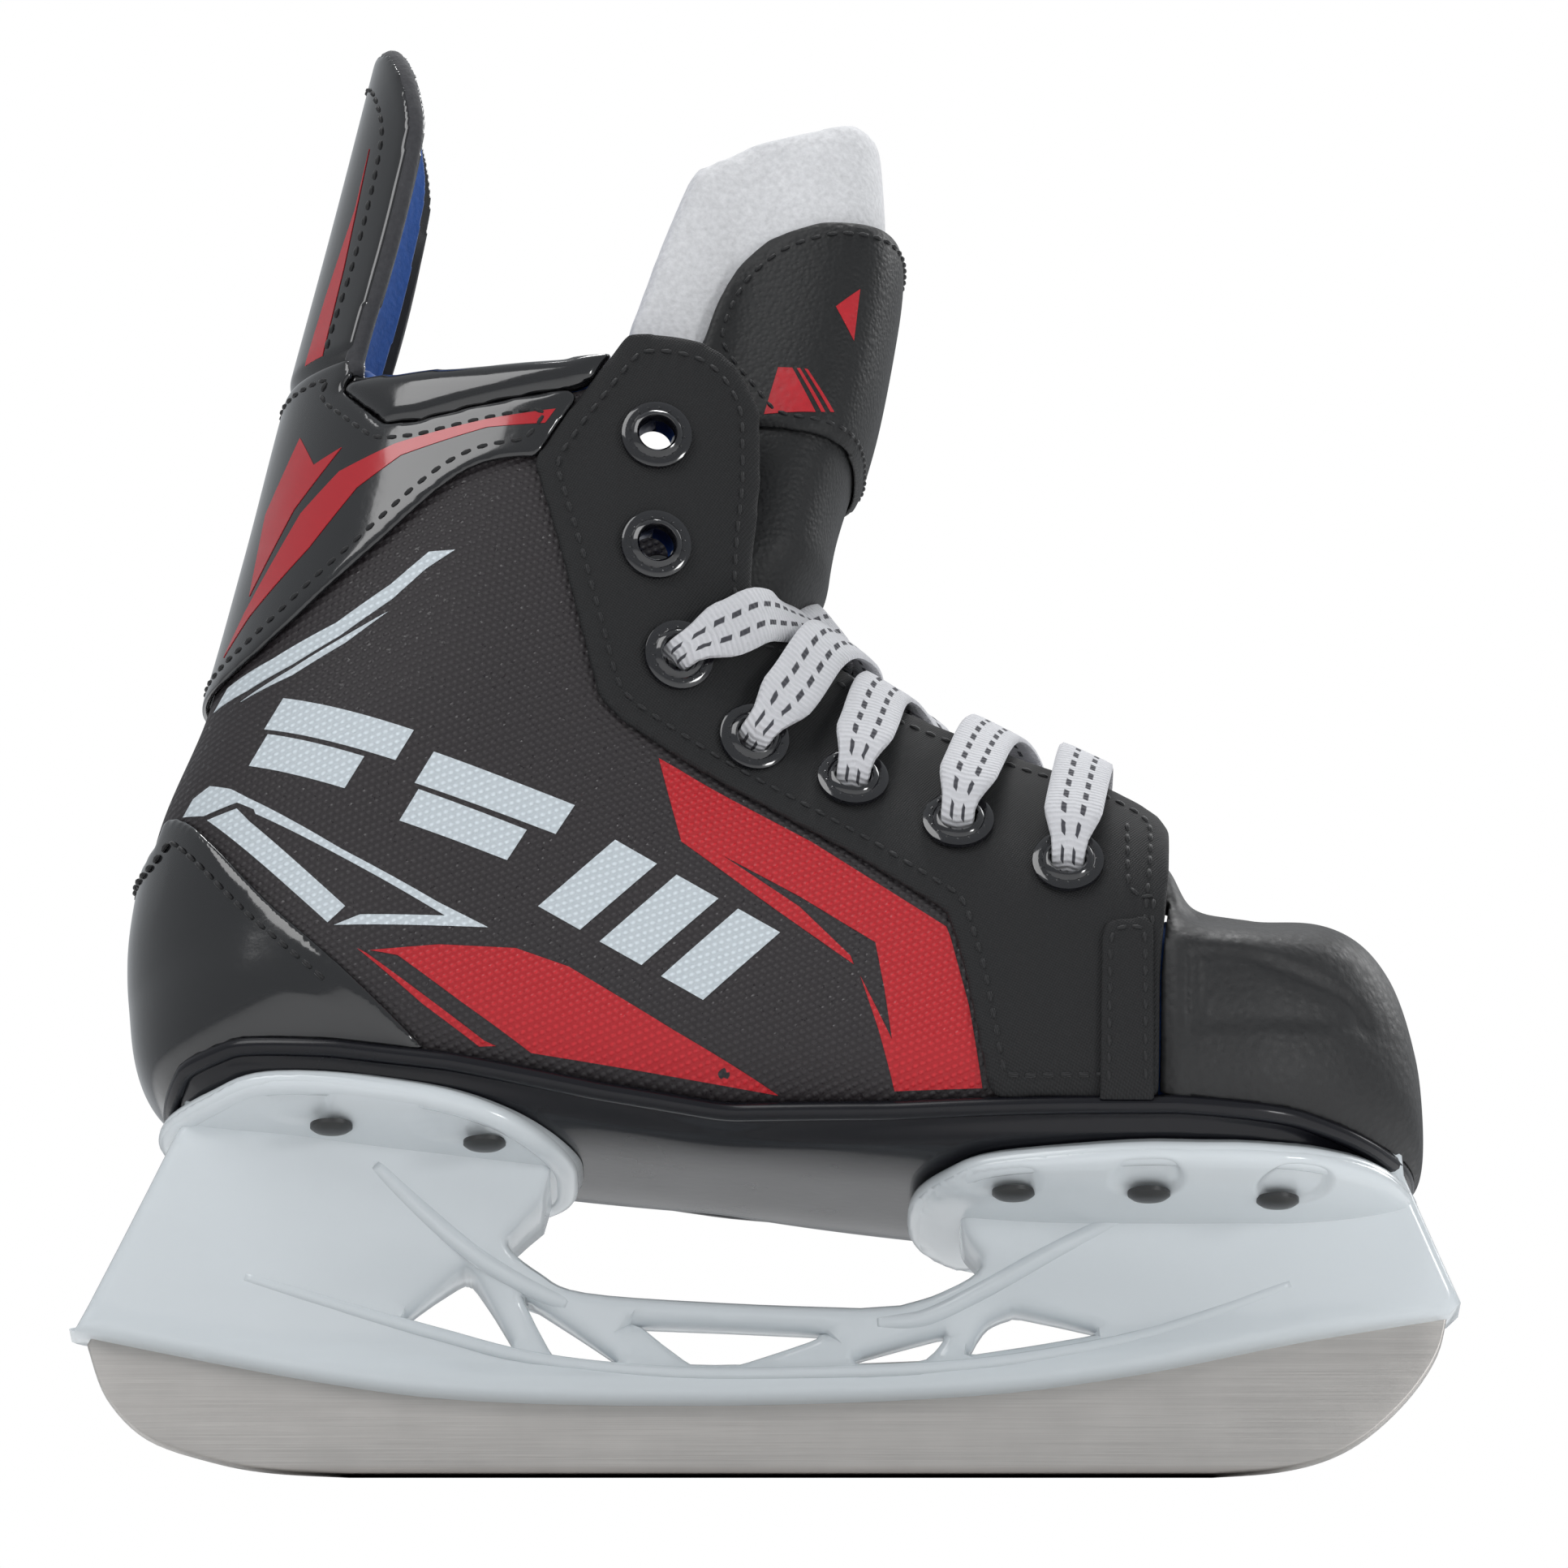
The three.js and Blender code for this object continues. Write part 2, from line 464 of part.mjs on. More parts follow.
// ---------------------------------------------------------------- rivets
const RIVETS = {
  heel: [[-66.6, 19], [-43.2, 19]],
  toe: [[37.4, 21], [58, 22], [77.7, 19]],
};
const rivets = [];
const rivetHoles = [];
for (const [place, spots] of Object.entries(RIVETS)) {
  let number = 0;
  for (const sign of [-1, 1]) {
    for (const [patternX, patternY] of spots) {
      const x = patternX * GRADE.x;
      const y = sign * patternY * GRADE.y;
      const low = undersideOfForm(x, y, holderTop + FLANGE_WALL, RIVET_HEAD / 2) - GAP;
      const high = undersideOfForm(x, y, -QUARTER_WALL) + CLINCH_HEIGHT;
      const head = RIVET_HEAD / 2;
      const shank = RIVET_SHANK / 2;
      const profile = [
        [0, low - RIVET_HEAD_WALL], [head * 0.7, low - RIVET_HEAD_WALL * 0.8], [head, low],
        [shank, low], [shank, high], [0, high],
      ].map(([r, z]) => new THREE.Vector2(r, z));
      const lathe = new THREE.LatheGeometry(profile, ROUND);
      number += 1;
      rivets.push([`${place}_rivet_${number}`, solidOf(placed(lathe, [x, y, 0], UP))]);
      rivetHoles.push({ x, y, high });
    }
  }
}
const riveted = (solid) => rivetHoles.reduce(
  (body, { x, y }) => body.subtract(
    rod(RIVET_SHANK / 2 + HOLE_CLEARANCE, [x, y, 0], UP, LOW, SOLE_TOP),
  ), solid,
);
const clinchPockets = (solid) => rivetHoles.reduce(
  (body, { x, y, high }) => body.subtract(
    rod(RIVET_SHANK / 2 + CLINCH_ROOM, [x, y, 0], UP, high - QUARTER_WALL, high + CLINCH_ROOM),
  ), solid,
);
const outsole = riveted(shell(soleOuter, GAP).intersect(sidePrism(belowFeather)));
const quarter = (side) => riveted(drilled(
  quarterShell.intersect(SIDES[side]), side, EYELET_BARREL / 2 + HOLE_CLEARANCE,
));

// ---------------------------------------------------------------- runner and its fixings
const SEAT_LINE = [
  [-105.9, 22.6], [-103.5, 21.3], [-67.7, 14.2], [-42.8, 11.3], [-5.6, 10.7], [31.5, 12.2],
  [56.4, 15.5], [81.2, 20.6], [104.3, 24.5],
];
const RUNNER_EDGE = [
  [104.4, 26], [102.8, 19.5], [98.7, 13], [92.5, 6.8], [86, 2.9], [78, 0.8], [68, 0], [-64, 0],
  [-76, 0.7], [-85, 2.4], [-95, 6], [-101.3, 12.5], [-104.3, 20.5],
];
const LUG_X = { rear: -70, front: 70 };
const LUG_TOP = { rear: 26, front: 28 };
const NUT_DROP = { rear: 15, front: 7.15 }; // from the outsole's underside to the nut's seat
const LUG_HALF = 6;
const RUNNER_TOP_TAPER = 0.97; // its hidden top edge ends short of the holder's tips
const runnerTop = SEAT_LINE.slice(1).map(([x, z]) => [x * RUNNER_TOP_TAPER, z + RUNNER_SEAT_DEPTH]);
const lug = (end) => {
  const x = LUG_X[end] * GRADE.x;
  const top = LUG_TOP[end] * GRADE.z;
  return sidePrism([
    [x - LUG_HALF, 12 * GRADE.z], [x + LUG_HALF, 12 * GRADE.z], [x + LUG_HALF, top], [x - LUG_HALF, top],
  ], -RUNNER_THICKNESS / 2, RUNNER_THICKNESS / 2);
};
const plate = sidePrism(graded([...runnerTop, ...RUNNER_EDGE]), -RUNNER_THICKNESS / 2, RUNNER_THICKNESS / 2);
const PIN_BELOW_TOP = 3;
const STUD_BELOW_TOP = 6;
const THREAD_END = 1.8; // thread shown above the nut
const fixings = Object.keys(LUG_X).map((end) => {
  const x = LUG_X[end] * GRADE.x;
  const top = LUG_TOP[end] * GRADE.z;
  const floor = undersideOfForm(x, 0, holderTop) - NUT_DROP[end];
  return { end, x, top, pinZ: top - PIN_BELOW_TOP, low: top - STUD_BELOW_TOP, floor };
});
const ALONG_Y = new THREE.Vector3(0, 1, 0);
const pinHole = ({ x, pinZ }) => rod(STUD_PIN / 2 + SLOT_CLEARANCE, [x, 0, pinZ], ALONG_Y, -8, 8);
const runner = fixings.reduce(
  (body, fixing) => body.add(lug(fixing.end)).subtract(pinHole(fixing)), plate,
);
const slotHalf = RUNNER_THICKNESS / 2 + SLOT_CLEARANCE;
function stud(fixing) {
  const { x, top, low, floor } = fixing;
  const fork = rod(STUD_DIAMETER / 2, [x, 0, 0], UP, low, top + STUD_SHOULDER);
  const thread = rod(STUD_THREAD / 2, [x, 0, 0], UP, top + GAP, floor + NUT_HEIGHT + THREAD_END);
  const slot = topPrism([
    [x - STUD_DIAMETER, -slotHalf], [x + STUD_DIAMETER, -slotHalf],
    [x + STUD_DIAMETER, slotHalf], [x - STUD_DIAMETER, slotHalf],
  ], low - 1, top + GAP);
  return fork.add(thread).subtract(slot).subtract(pinHole(fixing));
}
const nut = ({ x, floor }) => rod(NUT_RADIUS, [x, 0, 0], UP, floor + GAP, floor + GAP + NUT_HEIGHT, 6)
  .subtract(rod(STUD_THREAD / 2 + GAP, [x, 0, 0], UP, floor - 1, floor + NUT_HEIGHT + 2));
const pinReach = STUD_DIAMETER / 2 - GAP;
const pin = ({ x, pinZ }) => rod(STUD_PIN / 2, [x, 0, pinZ], ALONG_Y, -pinReach, pinReach);

// ---------------------------------------------------------------- blade holder
const HOLDER_SIDE = [
  ...SEAT_LINE, [106.2, 26.4], [97.5, 45], [97.5, 62], [30, 62], [28.6, 38], [32.6, 31.4], [20.4, 26.2],
  [14.2, 26], [-28, 28.2], [-39.8, 34.6], [-34.6, 41], [-32, 50], [-32, 64], [-89, 64], [-90, 56],
];
const HOLDER_FLARE = [[4.3, 8], [4.5, 18], [5.5, 26], [8, 34], [10.5, 43], [13, 50], [14, 66]];
const TRUSS_WINDOWS = [
  [[-55.6, 24.4], [-46.8, 31.6], [-45.2, 31], [-38.8, 19.9], [-42.5, 20.3]],
  [[-37.7, 27.6], [-23.2, 17.9], [-33, 18.7]],
  [[-20, 23.6], [8, 22.3], [-4, 17.4], [-12, 17.4]],
  [[27, 22], [24, 17.9], [13.5, 17.5]],
  [[33.6, 23.8], [38, 25.6], [50.5, 22.6], [30.8, 18.8]],
];
const FLANGES = [
  [[-89, 0], [-87, 9], [-81, 16.5], [-72, 21.5], [-50, 23], [-38, 21], [-31, 16], [-27, 8], [-26.3, 0]],
  [[24, 0], [25, 10], [29, 18], [36, 23.5], [55, 26.5], [74, 25.5], [85, 20.5], [92, 12.5], [95.5, 0]],
];
const CAVITIES = { rear: [-86, -48], front: [46, 88] };
const flareOutline = (narrower) => {
  const right = HOLDER_FLARE.map(([y, z]) => [y * GRADE.y - narrower, z * GRADE.z]);
  return [...right, ...right.slice().reverse().map(([y, z]) => [-y, z])];
};
function holderSolid() {
  const flare = frontPrism(flareOutline(0), -FAR, FAR);
  let body = sidePrism(graded(HOLDER_SIDE)).intersect(flare);
  for (const outline of TRUSS_WINDOWS) body = body.subtract(sidePrism(graded(outline)));
  for (const half of FLANGES) {
    const outline = bothSides(half).map(([x, y]) => [x * GRADE.x, y * GRADE.y]);
    body = body.add(form(holderTop + FLANGE_WALL).intersect(topPrism(outline, LOW, SOLE_TOP)));
  }
  const narrow = frontPrism(flareOutline(TOWER_WALL), -FAR, FAR);
  for (const { end, x, low, floor } of fixings) {
    const [from, to] = CAVITIES[end].map((value) => value * GRADE.x);
    const hollow = sidePrism([[from, floor], [to, floor], [to, HIGH], [from, HIGH]]);
    body = body.subtract(hollow.intersect(narrow));
    body = body.subtract(rod(STUD_DIAMETER / 2 + SLOT_CLEARANCE, [x, 0, 0], UP, low - 1, floor + 1));
  }
  const lugRoom = fixings.map(({ x, top }) => sidePrism([
    [x - LUG_HALF - GAP, 5], [x + LUG_HALF + GAP, 5], [x + LUG_HALF + GAP, top + GAP],
    [x - LUG_HALF - GAP, top + GAP],
  ], -slotHalf, slotHalf));
  const slotOutline = [...runnerTop, RUNNER_EDGE[0], [104.4, 8], [-104.3, 8], RUNNER_EDGE.at(-1)];
  const grown = inset(graded(slotOutline), -GAP);
  body = body.subtract(sidePrism(grown, -slotHalf, slotHalf));
  for (const room of lugRoom) body = body.subtract(room);
  return riveted(body.subtract(form(holderTop)));
}

// ---------------------------------------------------------------- lace
// One half of the lace, from the middle of the bar over row 7, through one eyelet of each row on
// alternate sides, to the hank in the foot space. The last number lifts the other half where they cross.
const LACE_HALF = [
  [49.5, 0, 110.2, 0], [49.2, -18.5, 110, 0], [47, -34, 97.4, 0], [46.1, -36.6, 91.1, 0],
  [45.8, -35.1, 87.8, 0], [45.8, -29.6, 85.7, 0], [45.3, -25.1, 88.5, 0], [43, -10.4, 106.4, 0],
  [39.3, 0, 113, 3.6], [35, 17.5, 115.3, 0], [31.3, 32, 104.4, 0], [29.6, 35.1, 98.5, 0],
  [29, 33.6, 95.3, 0], [29.2, 28.1, 93.2, 0], [28.9, 23.5, 95.9, 0], [27, 12, 112.4, 0],
  [23.5, 0, 120.2, 3.6], [18.5, -16.5, 122, 0], [15.5, -28.3, 112, 0], [13.9, -31.7, 106.3, 0],
  [13.1, -30.4, 103, 0], [12.7, -25, 100.7, 0], [12.4, -20.4, 103.3, 0], [12, -12.2, 121.2, 0],
  [14.6, 0, 127.4, 3.4], [9.8, 21.5, 128, 0], [4.2, 29.8, 117.5, 0], [0.4, 31.9, 111.9, 0],
  [-1.8, 30.2, 109.5, 0], [-3.4, 24.6, 108.5, 0], [-3, 20.5, 111.9, 0], [3, 15.6, 127.4, 0],
  [10.4, 0, 134.2, 3.2], [0.8, -26.4, 130.3, 0], [-5.1, -33.1, 126, 0], [-10.8, -35.1, 122.7, 0],
  [-13.5, -33.1, 121.5, 0], [-14.8, -27.4, 121.6, 0], [-17, -22.5, 117, 0], [-14, -15, 104, 0],
  [4, -8, 93, 0], [4, -8, 84.4, 0],
];
const toeCurve = (x) => Math.max(0, (x - 10) * 0.028); // the boot's middle line bends inwards
const otherHalf = LACE_HALF.slice(1).map(([x, y, z, lift]) => [x, 2 * toeCurve(x) - y, z + lift]);
const LACE_ROUTE = [...LACE_HALF.slice().reverse().map(([x, y, z]) => [x, y, z]), ...otherHalf];

// Straight runs between the route's points, one ring at each.
class Route extends THREE.Curve {
  constructor(points) {
    super();
    this.points = points.map((p) => new THREE.Vector3(...p));
  }
  getPoint(t) {
    const place = t * (this.points.length - 1);
    const low = Math.min(Math.floor(place), this.points.length - 2);
    return this.points[low].clone().lerp(this.points[low + 1], place - low);
  }
  getTangent(t) {
    const place = Math.round(t * (this.points.length - 1));
    const before = this.points[Math.max(place - 1, 0)];
    const after = this.points[Math.min(place + 1, this.points.length - 1)];
    return after.clone().sub(before).normalize();
  }
  getPointAt(u) { return this.getPoint(u); }
  getTangentAt(u) { return this.getTangent(u); }
  getSpacedPoints(count) { return this.getPoints(count); }
}
const ringOutline = (radius, sides) => Array.from({ length: sides }, (_, i) => {
  const angle = (2 * Math.PI * i) / sides;
  return new THREE.Vector2(radius * Math.cos(angle), radius * Math.sin(angle));
});
function laceSolid() {
  const section = new THREE.Shape(ringOutline(LACE_TUBE / 2, 8));
  const options = { steps: LACE_ROUTE.length - 1, extrudePath: new Route(LACE_ROUTE) };
  return solidOf(new THREE.ExtrudeGeometry(section, options));
}

// The rest of the lace is a folded hank in the foot space, its two tipped ends forward.
const HANK = { middle: [14, 0], length: 60, width: 28, height: 23 };
const LACE_END = LACE_HALF.at(-1);
const hankTop = LACE_END[2] - GAP;
function hankSolid() {
  const [x, y] = HANK.middle;
  const radius = HANK.width / 2;
  const reach = HANK.length / 2 - radius;
  const shape = new THREE.Shape();
  shape.absarc(x + reach, y, radius, -Math.PI / 2, Math.PI / 2);
  shape.absarc(x - reach, y, radius, Math.PI / 2, (3 * Math.PI) / 2);
  const options = { depth: HANK.height, bevelEnabled: false, curveSegments: 6 };
  return solidOf(new THREE.ExtrudeGeometry(shape, options).translate(0, 0, hankTop - HANK.height));
}
const AGLET_SPREAD = 5;
const aglet = (sign) => rod(
  AGLET_DIAMETER / 2,
  [HANK.middle[0] + HANK.length / 2 + GAP, sign * AGLET_SPREAD, hankTop - HANK.height / 2],
  new THREE.Vector3(1, 0, 0), 0, AGLET_LENGTH,
);

// ---------------------------------------------------------------- assembly
const FINISH = {
  steel: { color: '#cfcac5', roughness: 0.3, metalness: 1 },
  holder: { color: '#dde3e6', roughness: 0.25, metalness: 0 },
  fixing: { color: '#4a4a4a', roughness: 0.35, metalness: 1 },
  sole: { color: '#3b3a42', roughness: 0.2, metalness: 0 },
  quarter: { color: '#352f31', roughness: 0.55, metalness: 0 },
  patent: { color: '#101012', roughness: 0.1, metalness: 0 },
  nylon: { color: '#303132', roughness: 0.7, metalness: 0 },
  cap: { color: '#303032', roughness: 0.6, metalness: 0 },
  enamel: { color: '#141416', roughness: 0.15, metalness: 0.2 },
  felt: { color: '#e9e9e9', roughness: 1, metalness: 0 },
  vinyl: { color: '#222324', roughness: 0.5, metalness: 0 },
  lining: { color: '#1f4a8c', roughness: 0.95, metalness: 0 },
  board: { color: '#8f8168', roughness: 0.9, metalness: 0 },
  lace: { color: '#f0f0f4', roughness: 0.9, metalness: 0 },
};
const materials = Object.fromEntries(
  Object.entries(FINISH).map(([name, look]) => [name, new THREE.MeshStandardMaterial(look)]),
);
const skate = new THREE.Group();
function addPiece(group, name, solid, finish) {
  const { vertProperties, triVerts } = solid.getMesh();
  const geometry = new THREE.BufferGeometry();
  geometry.setAttribute('position', new THREE.Float32BufferAttribute(vertProperties, 3));
  geometry.setIndex([...triVerts]);
  geometry.computeVertexNormals();
  const mesh = new THREE.Mesh(geometry, materials[finish]);
  mesh.name = name;
  group.add(mesh);
}
function subAssembly(pieces) {
  const group = new THREE.Group();
  for (const [name, solid, finish] of pieces) addPiece(group, name, solid, finish);
  skate.add(group);
}

subAssembly([
  ['blade_runner', runner, 'steel'],
  ['blade_holder', holderSolid(), 'holder'],
  ...fixings.flatMap((fixing) => [
    [`${fixing.end}_runner_stud`, stud(fixing), 'fixing'],
    [`${fixing.end}_runner_nut`, nut(fixing), 'fixing'],
    [`${fixing.end}_runner_pin`, pin(fixing), 'fixing'],
  ]),
  ...rivets.map(([name, solid]) => [name, solid, 'fixing']),
]);
subAssembly([
  ['outsole', outsole, 'sole'],
  ['lasting_board', riveted(lastingBoard), 'board'],
  ['insole', insole, 'board'],
  ['boot_lining', clinchPockets(liningShell), 'lining'],
  ['quarter_lateral', quarter('lateral'), 'quarter'],
  ['quarter_medial', quarter('medial'), 'quarter'],
  ['heel_counter', counterShell, 'patent'],
  ['topline_overlay', toplineShell, 'patent'],
  ['collar_lateral', collarShell.intersect(lateral), 'patent'],
  ['collar_medial', collarShell.intersect(medial), 'patent'],
  ['eyestay_lateral', eyestay('lateral'), 'nylon'],
  ['eyestay_medial', eyestay('medial'), 'nylon'],
  ['vamp_strap_lateral', strapShell.intersect(lateral), 'nylon'],
  ['vamp_strap_medial', strapShell.intersect(medial), 'nylon'],
  ['toe_cap', riveted(toeCap), 'cap'],
  ...eyelets.map(([name, solid]) => [name, solid, 'enamel']),
]);
subAssembly([
  ['tongue_felt_lower', tongueFelt.intersect(belowTongueFlex), 'felt'],
  ['tongue_facing_lower', tongueFacing.intersect(belowTongueFlex), 'vinyl'],
  ['tongue_felt_upper', tongueFelt.intersect(aboveTongueFlex), 'felt'],
  ['tongue_facing_upper', tongueFacing.intersect(aboveTongueFlex), 'vinyl'],
  ['tongue_badge', tongueBadge, 'vinyl'],
]);
subAssembly([
  ['lace', laceSolid(), 'lace'],
  ['lace_hank', hankSolid(), 'lace'],
  ['aglet_lateral', aglet(-1), 'enamel'],
  ['aglet_medial', aglet(1), 'enamel'],
]);
subAssembly([
  ['tendon_guard_shell', guardShell, 'patent'],
  ['tendon_guard_felt', guardFelt, 'lining'],
]);

export default skate;
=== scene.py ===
"""Youth ice hockey skate: the seen pieces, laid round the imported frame.

Sizes are millimetres in the frame's own axes (+X toe, -Y outer side, +Z up from the ice) until a
mesh is made, which is in metres.
"""
import logging
import math
from dataclasses import dataclass, field
from enum import Enum
from typing import Callable, Sequence

import bmesh
import bpy
import numpy as np
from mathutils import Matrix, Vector
from mathutils.bvhtree import BVHTree
from mathutils.geometry import delaunay_2d_cdt


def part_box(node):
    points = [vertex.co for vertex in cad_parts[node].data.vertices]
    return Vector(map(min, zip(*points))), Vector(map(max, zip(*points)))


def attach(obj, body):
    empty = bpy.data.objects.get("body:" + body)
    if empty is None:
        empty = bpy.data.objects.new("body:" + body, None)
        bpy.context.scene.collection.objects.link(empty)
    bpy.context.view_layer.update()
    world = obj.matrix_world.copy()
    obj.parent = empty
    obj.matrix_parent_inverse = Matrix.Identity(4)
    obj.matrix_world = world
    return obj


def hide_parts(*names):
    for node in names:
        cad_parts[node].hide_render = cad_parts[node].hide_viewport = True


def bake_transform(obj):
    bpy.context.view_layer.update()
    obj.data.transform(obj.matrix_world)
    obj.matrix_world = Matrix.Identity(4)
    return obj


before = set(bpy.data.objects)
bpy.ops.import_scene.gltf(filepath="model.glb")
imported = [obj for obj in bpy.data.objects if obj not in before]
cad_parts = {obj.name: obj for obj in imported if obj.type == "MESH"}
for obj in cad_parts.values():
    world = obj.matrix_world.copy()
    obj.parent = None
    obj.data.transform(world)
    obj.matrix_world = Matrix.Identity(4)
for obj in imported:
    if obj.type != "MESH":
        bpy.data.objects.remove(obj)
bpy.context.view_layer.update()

logging.basicConfig(level=logging.INFO, format="%(message)s")
LOG = logging.getLogger("skate")
MM = 0.001
Line = Sequence[Sequence[float]]
Region = Callable[[np.ndarray], np.ndarray]


# ------------------------------------------------------------------ shader maths
class Wire:
    """A shader socket that takes Python arithmetic."""

    def __init__(self, graph: "Graph", socket: bpy.types.NodeSocket) -> None:
        """Keep the graph and the socket.

        Args:
            graph: the node tree that grows.
            socket: the output that carries the value.
        """
        self.graph, self.socket = graph, socket

    def maths(self, operation: str, *others: "Wire | float") -> "Wire":
        """A Math node on this value.

        Args:
            operation: the Math node's operation.
            others: its further inputs.

        Returns:
            The result.
        """
        settings = {"operation": operation}
        return self.graph.add("ShaderNodeMath", settings, {0: self, **dict(enumerate(others, 1))})

    def __add__(self, other: "Wire | float") -> "Wire":
        """Sum."""
        return self.maths("ADD", other)

    __radd__ = __add__

    def __sub__(self, other: "Wire | float") -> "Wire":
        """Difference."""
        return self.maths("SUBTRACT", other)

    def __rsub__(self, other: float) -> "Wire":
        """Difference from a number."""
        return self.maths("MULTIPLY_ADD", -1.0, other)

    def __mul__(self, other: "Wire | float") -> "Wire":
        """Product."""
        return self.maths("MULTIPLY", other)

    __rmul__ = __mul__

    def step(self, low: float, high: float) -> "Wire":
        """Smooth ramp from 0 at low to 1 at high.

        Args:
            low: where it is 0.
            high: where it is 1.

        Returns:
            The ramp's value.
        """
        settings = {"interpolation_type": "SMOOTHSTEP"}
        return self.graph.add("ShaderNodeMapRange", settings, {0: self, 1: low, 2: high, 3: 0.0, 4: 1.0})


class Graph:
    """One material's node tree."""

    def __init__(self, name: str) -> None:
        """Start a material with a bare Principled shader.

        Args:
            name: the material's name.
        """
        self.material = bpy.data.materials.new(name)
        self.material.use_nodes = True
        self.tree = self.material.node_tree
        self.shader = next(n for n in self.tree.nodes if n.type == "BSDF_PRINCIPLED")

    def add(self, kind: str, settings: dict, inputs: dict, output: int | str = 0) -> Wire:
        """Add one node.

        Args:
            kind: the node's type.
            settings: its properties, set first.
            inputs: values or wires by socket name or number.
            output: which output to return.

        Returns:
            The chosen output.
        """
        node = self.tree.nodes.new(kind)
        for key, value in settings.items():
            setattr(node, key, value)
        for key, value in inputs.items():
            self.feed(node.inputs[key], value)
        return Wire(self, node.outputs[output])

    def feed(self, socket: bpy.types.NodeSocket, value: object) -> None:
        """Set a socket's value, or link a wire to it."""
        if isinstance(value, Wire):
            self.tree.links.new(value.socket, socket)
        else:
            socket.default_value = value

    def place(self, scale: Sequence[float] = (1, 1, 1), turn: float = 0.0) -> Wire:
        """Object coordinates in millimetres.

        Args:
            scale: stretch of each axis.
            turn: turn about Y in radians.

        Returns:
            The coordinate.
        """
        spot = self.add("ShaderNodeTexCoord", {}, {}, "Object")
        size = [s / MM for s in scale]
        return self.add("ShaderNodeMapping", {}, {0: spot, "Rotation": (0, turn, 0), "Scale": size})

    def axes(self, spot: Wire) -> list[Wire]:
        """The three numbers of a coordinate."""
        node = self.tree.nodes.new("ShaderNodeSeparateXYZ")
        self.feed(node.inputs[0], spot)
        return [Wire(self, out) for out in node.outputs]

    def noise(self, scale: float, detail: float = 2.0, spot: Wire | None = None) -> Wire:
        """Noise per millimetre.

        Args:
            scale: features per millimetre.
            detail: octaves.
            spot: the coordinate, the object's own by default.

        Returns:
            A value from 0 to 1.
        """
        where = spot or self.place()
        return self.add("ShaderNodeTexNoise", {}, {"Vector": where, "Scale": scale, "Detail": detail})

    def mix(self, factor: Wire | float, first: object, second: object) -> Wire:
        """A colour between two colours.

        Args:
            factor: 0 for the first, 1 for the second.
            first: a colour or a wire.
            second: a colour or a wire.

        Returns:
            The mixed colour.
        """
        node = self.tree.nodes.new("ShaderNodeMix")
        node.data_type = "RGBA"
        for socket, value in ((0, factor), (6, first), (7, second)):
            self.feed(node.inputs[socket], (*value, 1.0) if isinstance(value, tuple) else value)
        return Wire(self, node.outputs[2])

    def relief(self, height: Wire, depth: float, strength: float = 1.0) -> None:
        """Feed a height in millimetres to the shader's normal."""
        inputs = {"Height": height, "Distance": depth * MM, "Strength": strength}
        self.feed(self.shader.inputs["Normal"], self.add("ShaderNodeBump", {}, inputs))


# ------------------------------------------------------------------ finishes
@dataclass(frozen=True)
class Finish:
    """A plain finish: the values that are the same all over."""

    name: str
    colour: tuple[float, float, float]
    roughness: float = 0.5
    metallic: float = 0.0
    coat: float = 0.0
    sheen: float = 0.0
    specular: float = 0.5
    depth: float = 0.02

    def dress(self, g: Graph) -> None:
        """Add what changes over the surface: a faint mottling of gloss."""
        mottle = g.noise(0.08, 4.0)
        g.feed(g.shader.inputs["Roughness"], mottle * 0.12 + (self.roughness - 0.06))
        g.relief(g.noise(0.6, 3.0), self.depth)

    def material(self) -> bpy.types.Material:
        """The Blender material, made once."""
        found = bpy.data.materials.get(self.name)
        if found:
            return found
        g = Graph(self.name)
        values = {
            "Base Color": (*self.colour, 1.0), "Roughness": self.roughness,
            "Metallic": self.metallic, "Coat Weight": self.coat, "Coat Roughness": 0.06,
            "Sheen Weight": self.sheen, "Sheen Roughness": 0.4, "Specular IOR Level": self.specular,
        }
        for key, value in values.items():
            g.feed(g.shader.inputs[key], value)
        self.dress(g)
        return g.material


@dataclass(frozen=True)
class CoatedWeave(Finish):
    """Coarse coated fabric: rows of small glossy pips, with a painted highlight on their tops and painted
    shade between them.
    """

    pitch: float = 1.1
    sparkle: float = 0.35

    def dress(self, g: Graph) -> None:
        """Pips on a staggered grid, with glossy grains between them."""
        x, _, z = g.axes(g.place(turn=0.35))
        row = (z * (1 / self.pitch)).maths("FLOOR").maths("MODULO", 2.0)
        across = (x * (1 / self.pitch) + row * 0.5).maths("FRACT") - 0.5
        along = (z * (1 / self.pitch)).maths("FRACT") - 0.5
        spread = (across * across * 1.3 + along * along * 2.2).maths("SQRT")
        pip = 1 - spread.step(0.12, 0.62)
        grain = g.noise(2.2, 3.0)
        glint = g.noise(1.3, 1.0).step(0.62, 0.72)
        # light and shade are lit and shaded copies of the colour: the raised pips and grain are painted
        # lighter and the hollows darker, as painted highlight and painted shade
        light = tuple(min(c * 1.25 + 0.01, 1.0) for c in self.colour)
        shade = tuple(c * 0.85 for c in self.colour)
        tone = g.mix(pip * 0.75 + grain * 0.25, shade, light)
        g.feed(g.shader.inputs["Base Color"], tone)
        rough = self.roughness + 0.1 - glint * self.sparkle - pip * 0.08
        g.feed(g.shader.inputs["Roughness"], rough.maths("MAXIMUM", 0.16))
        g.relief(pip + grain * 0.35, self.depth * 6)


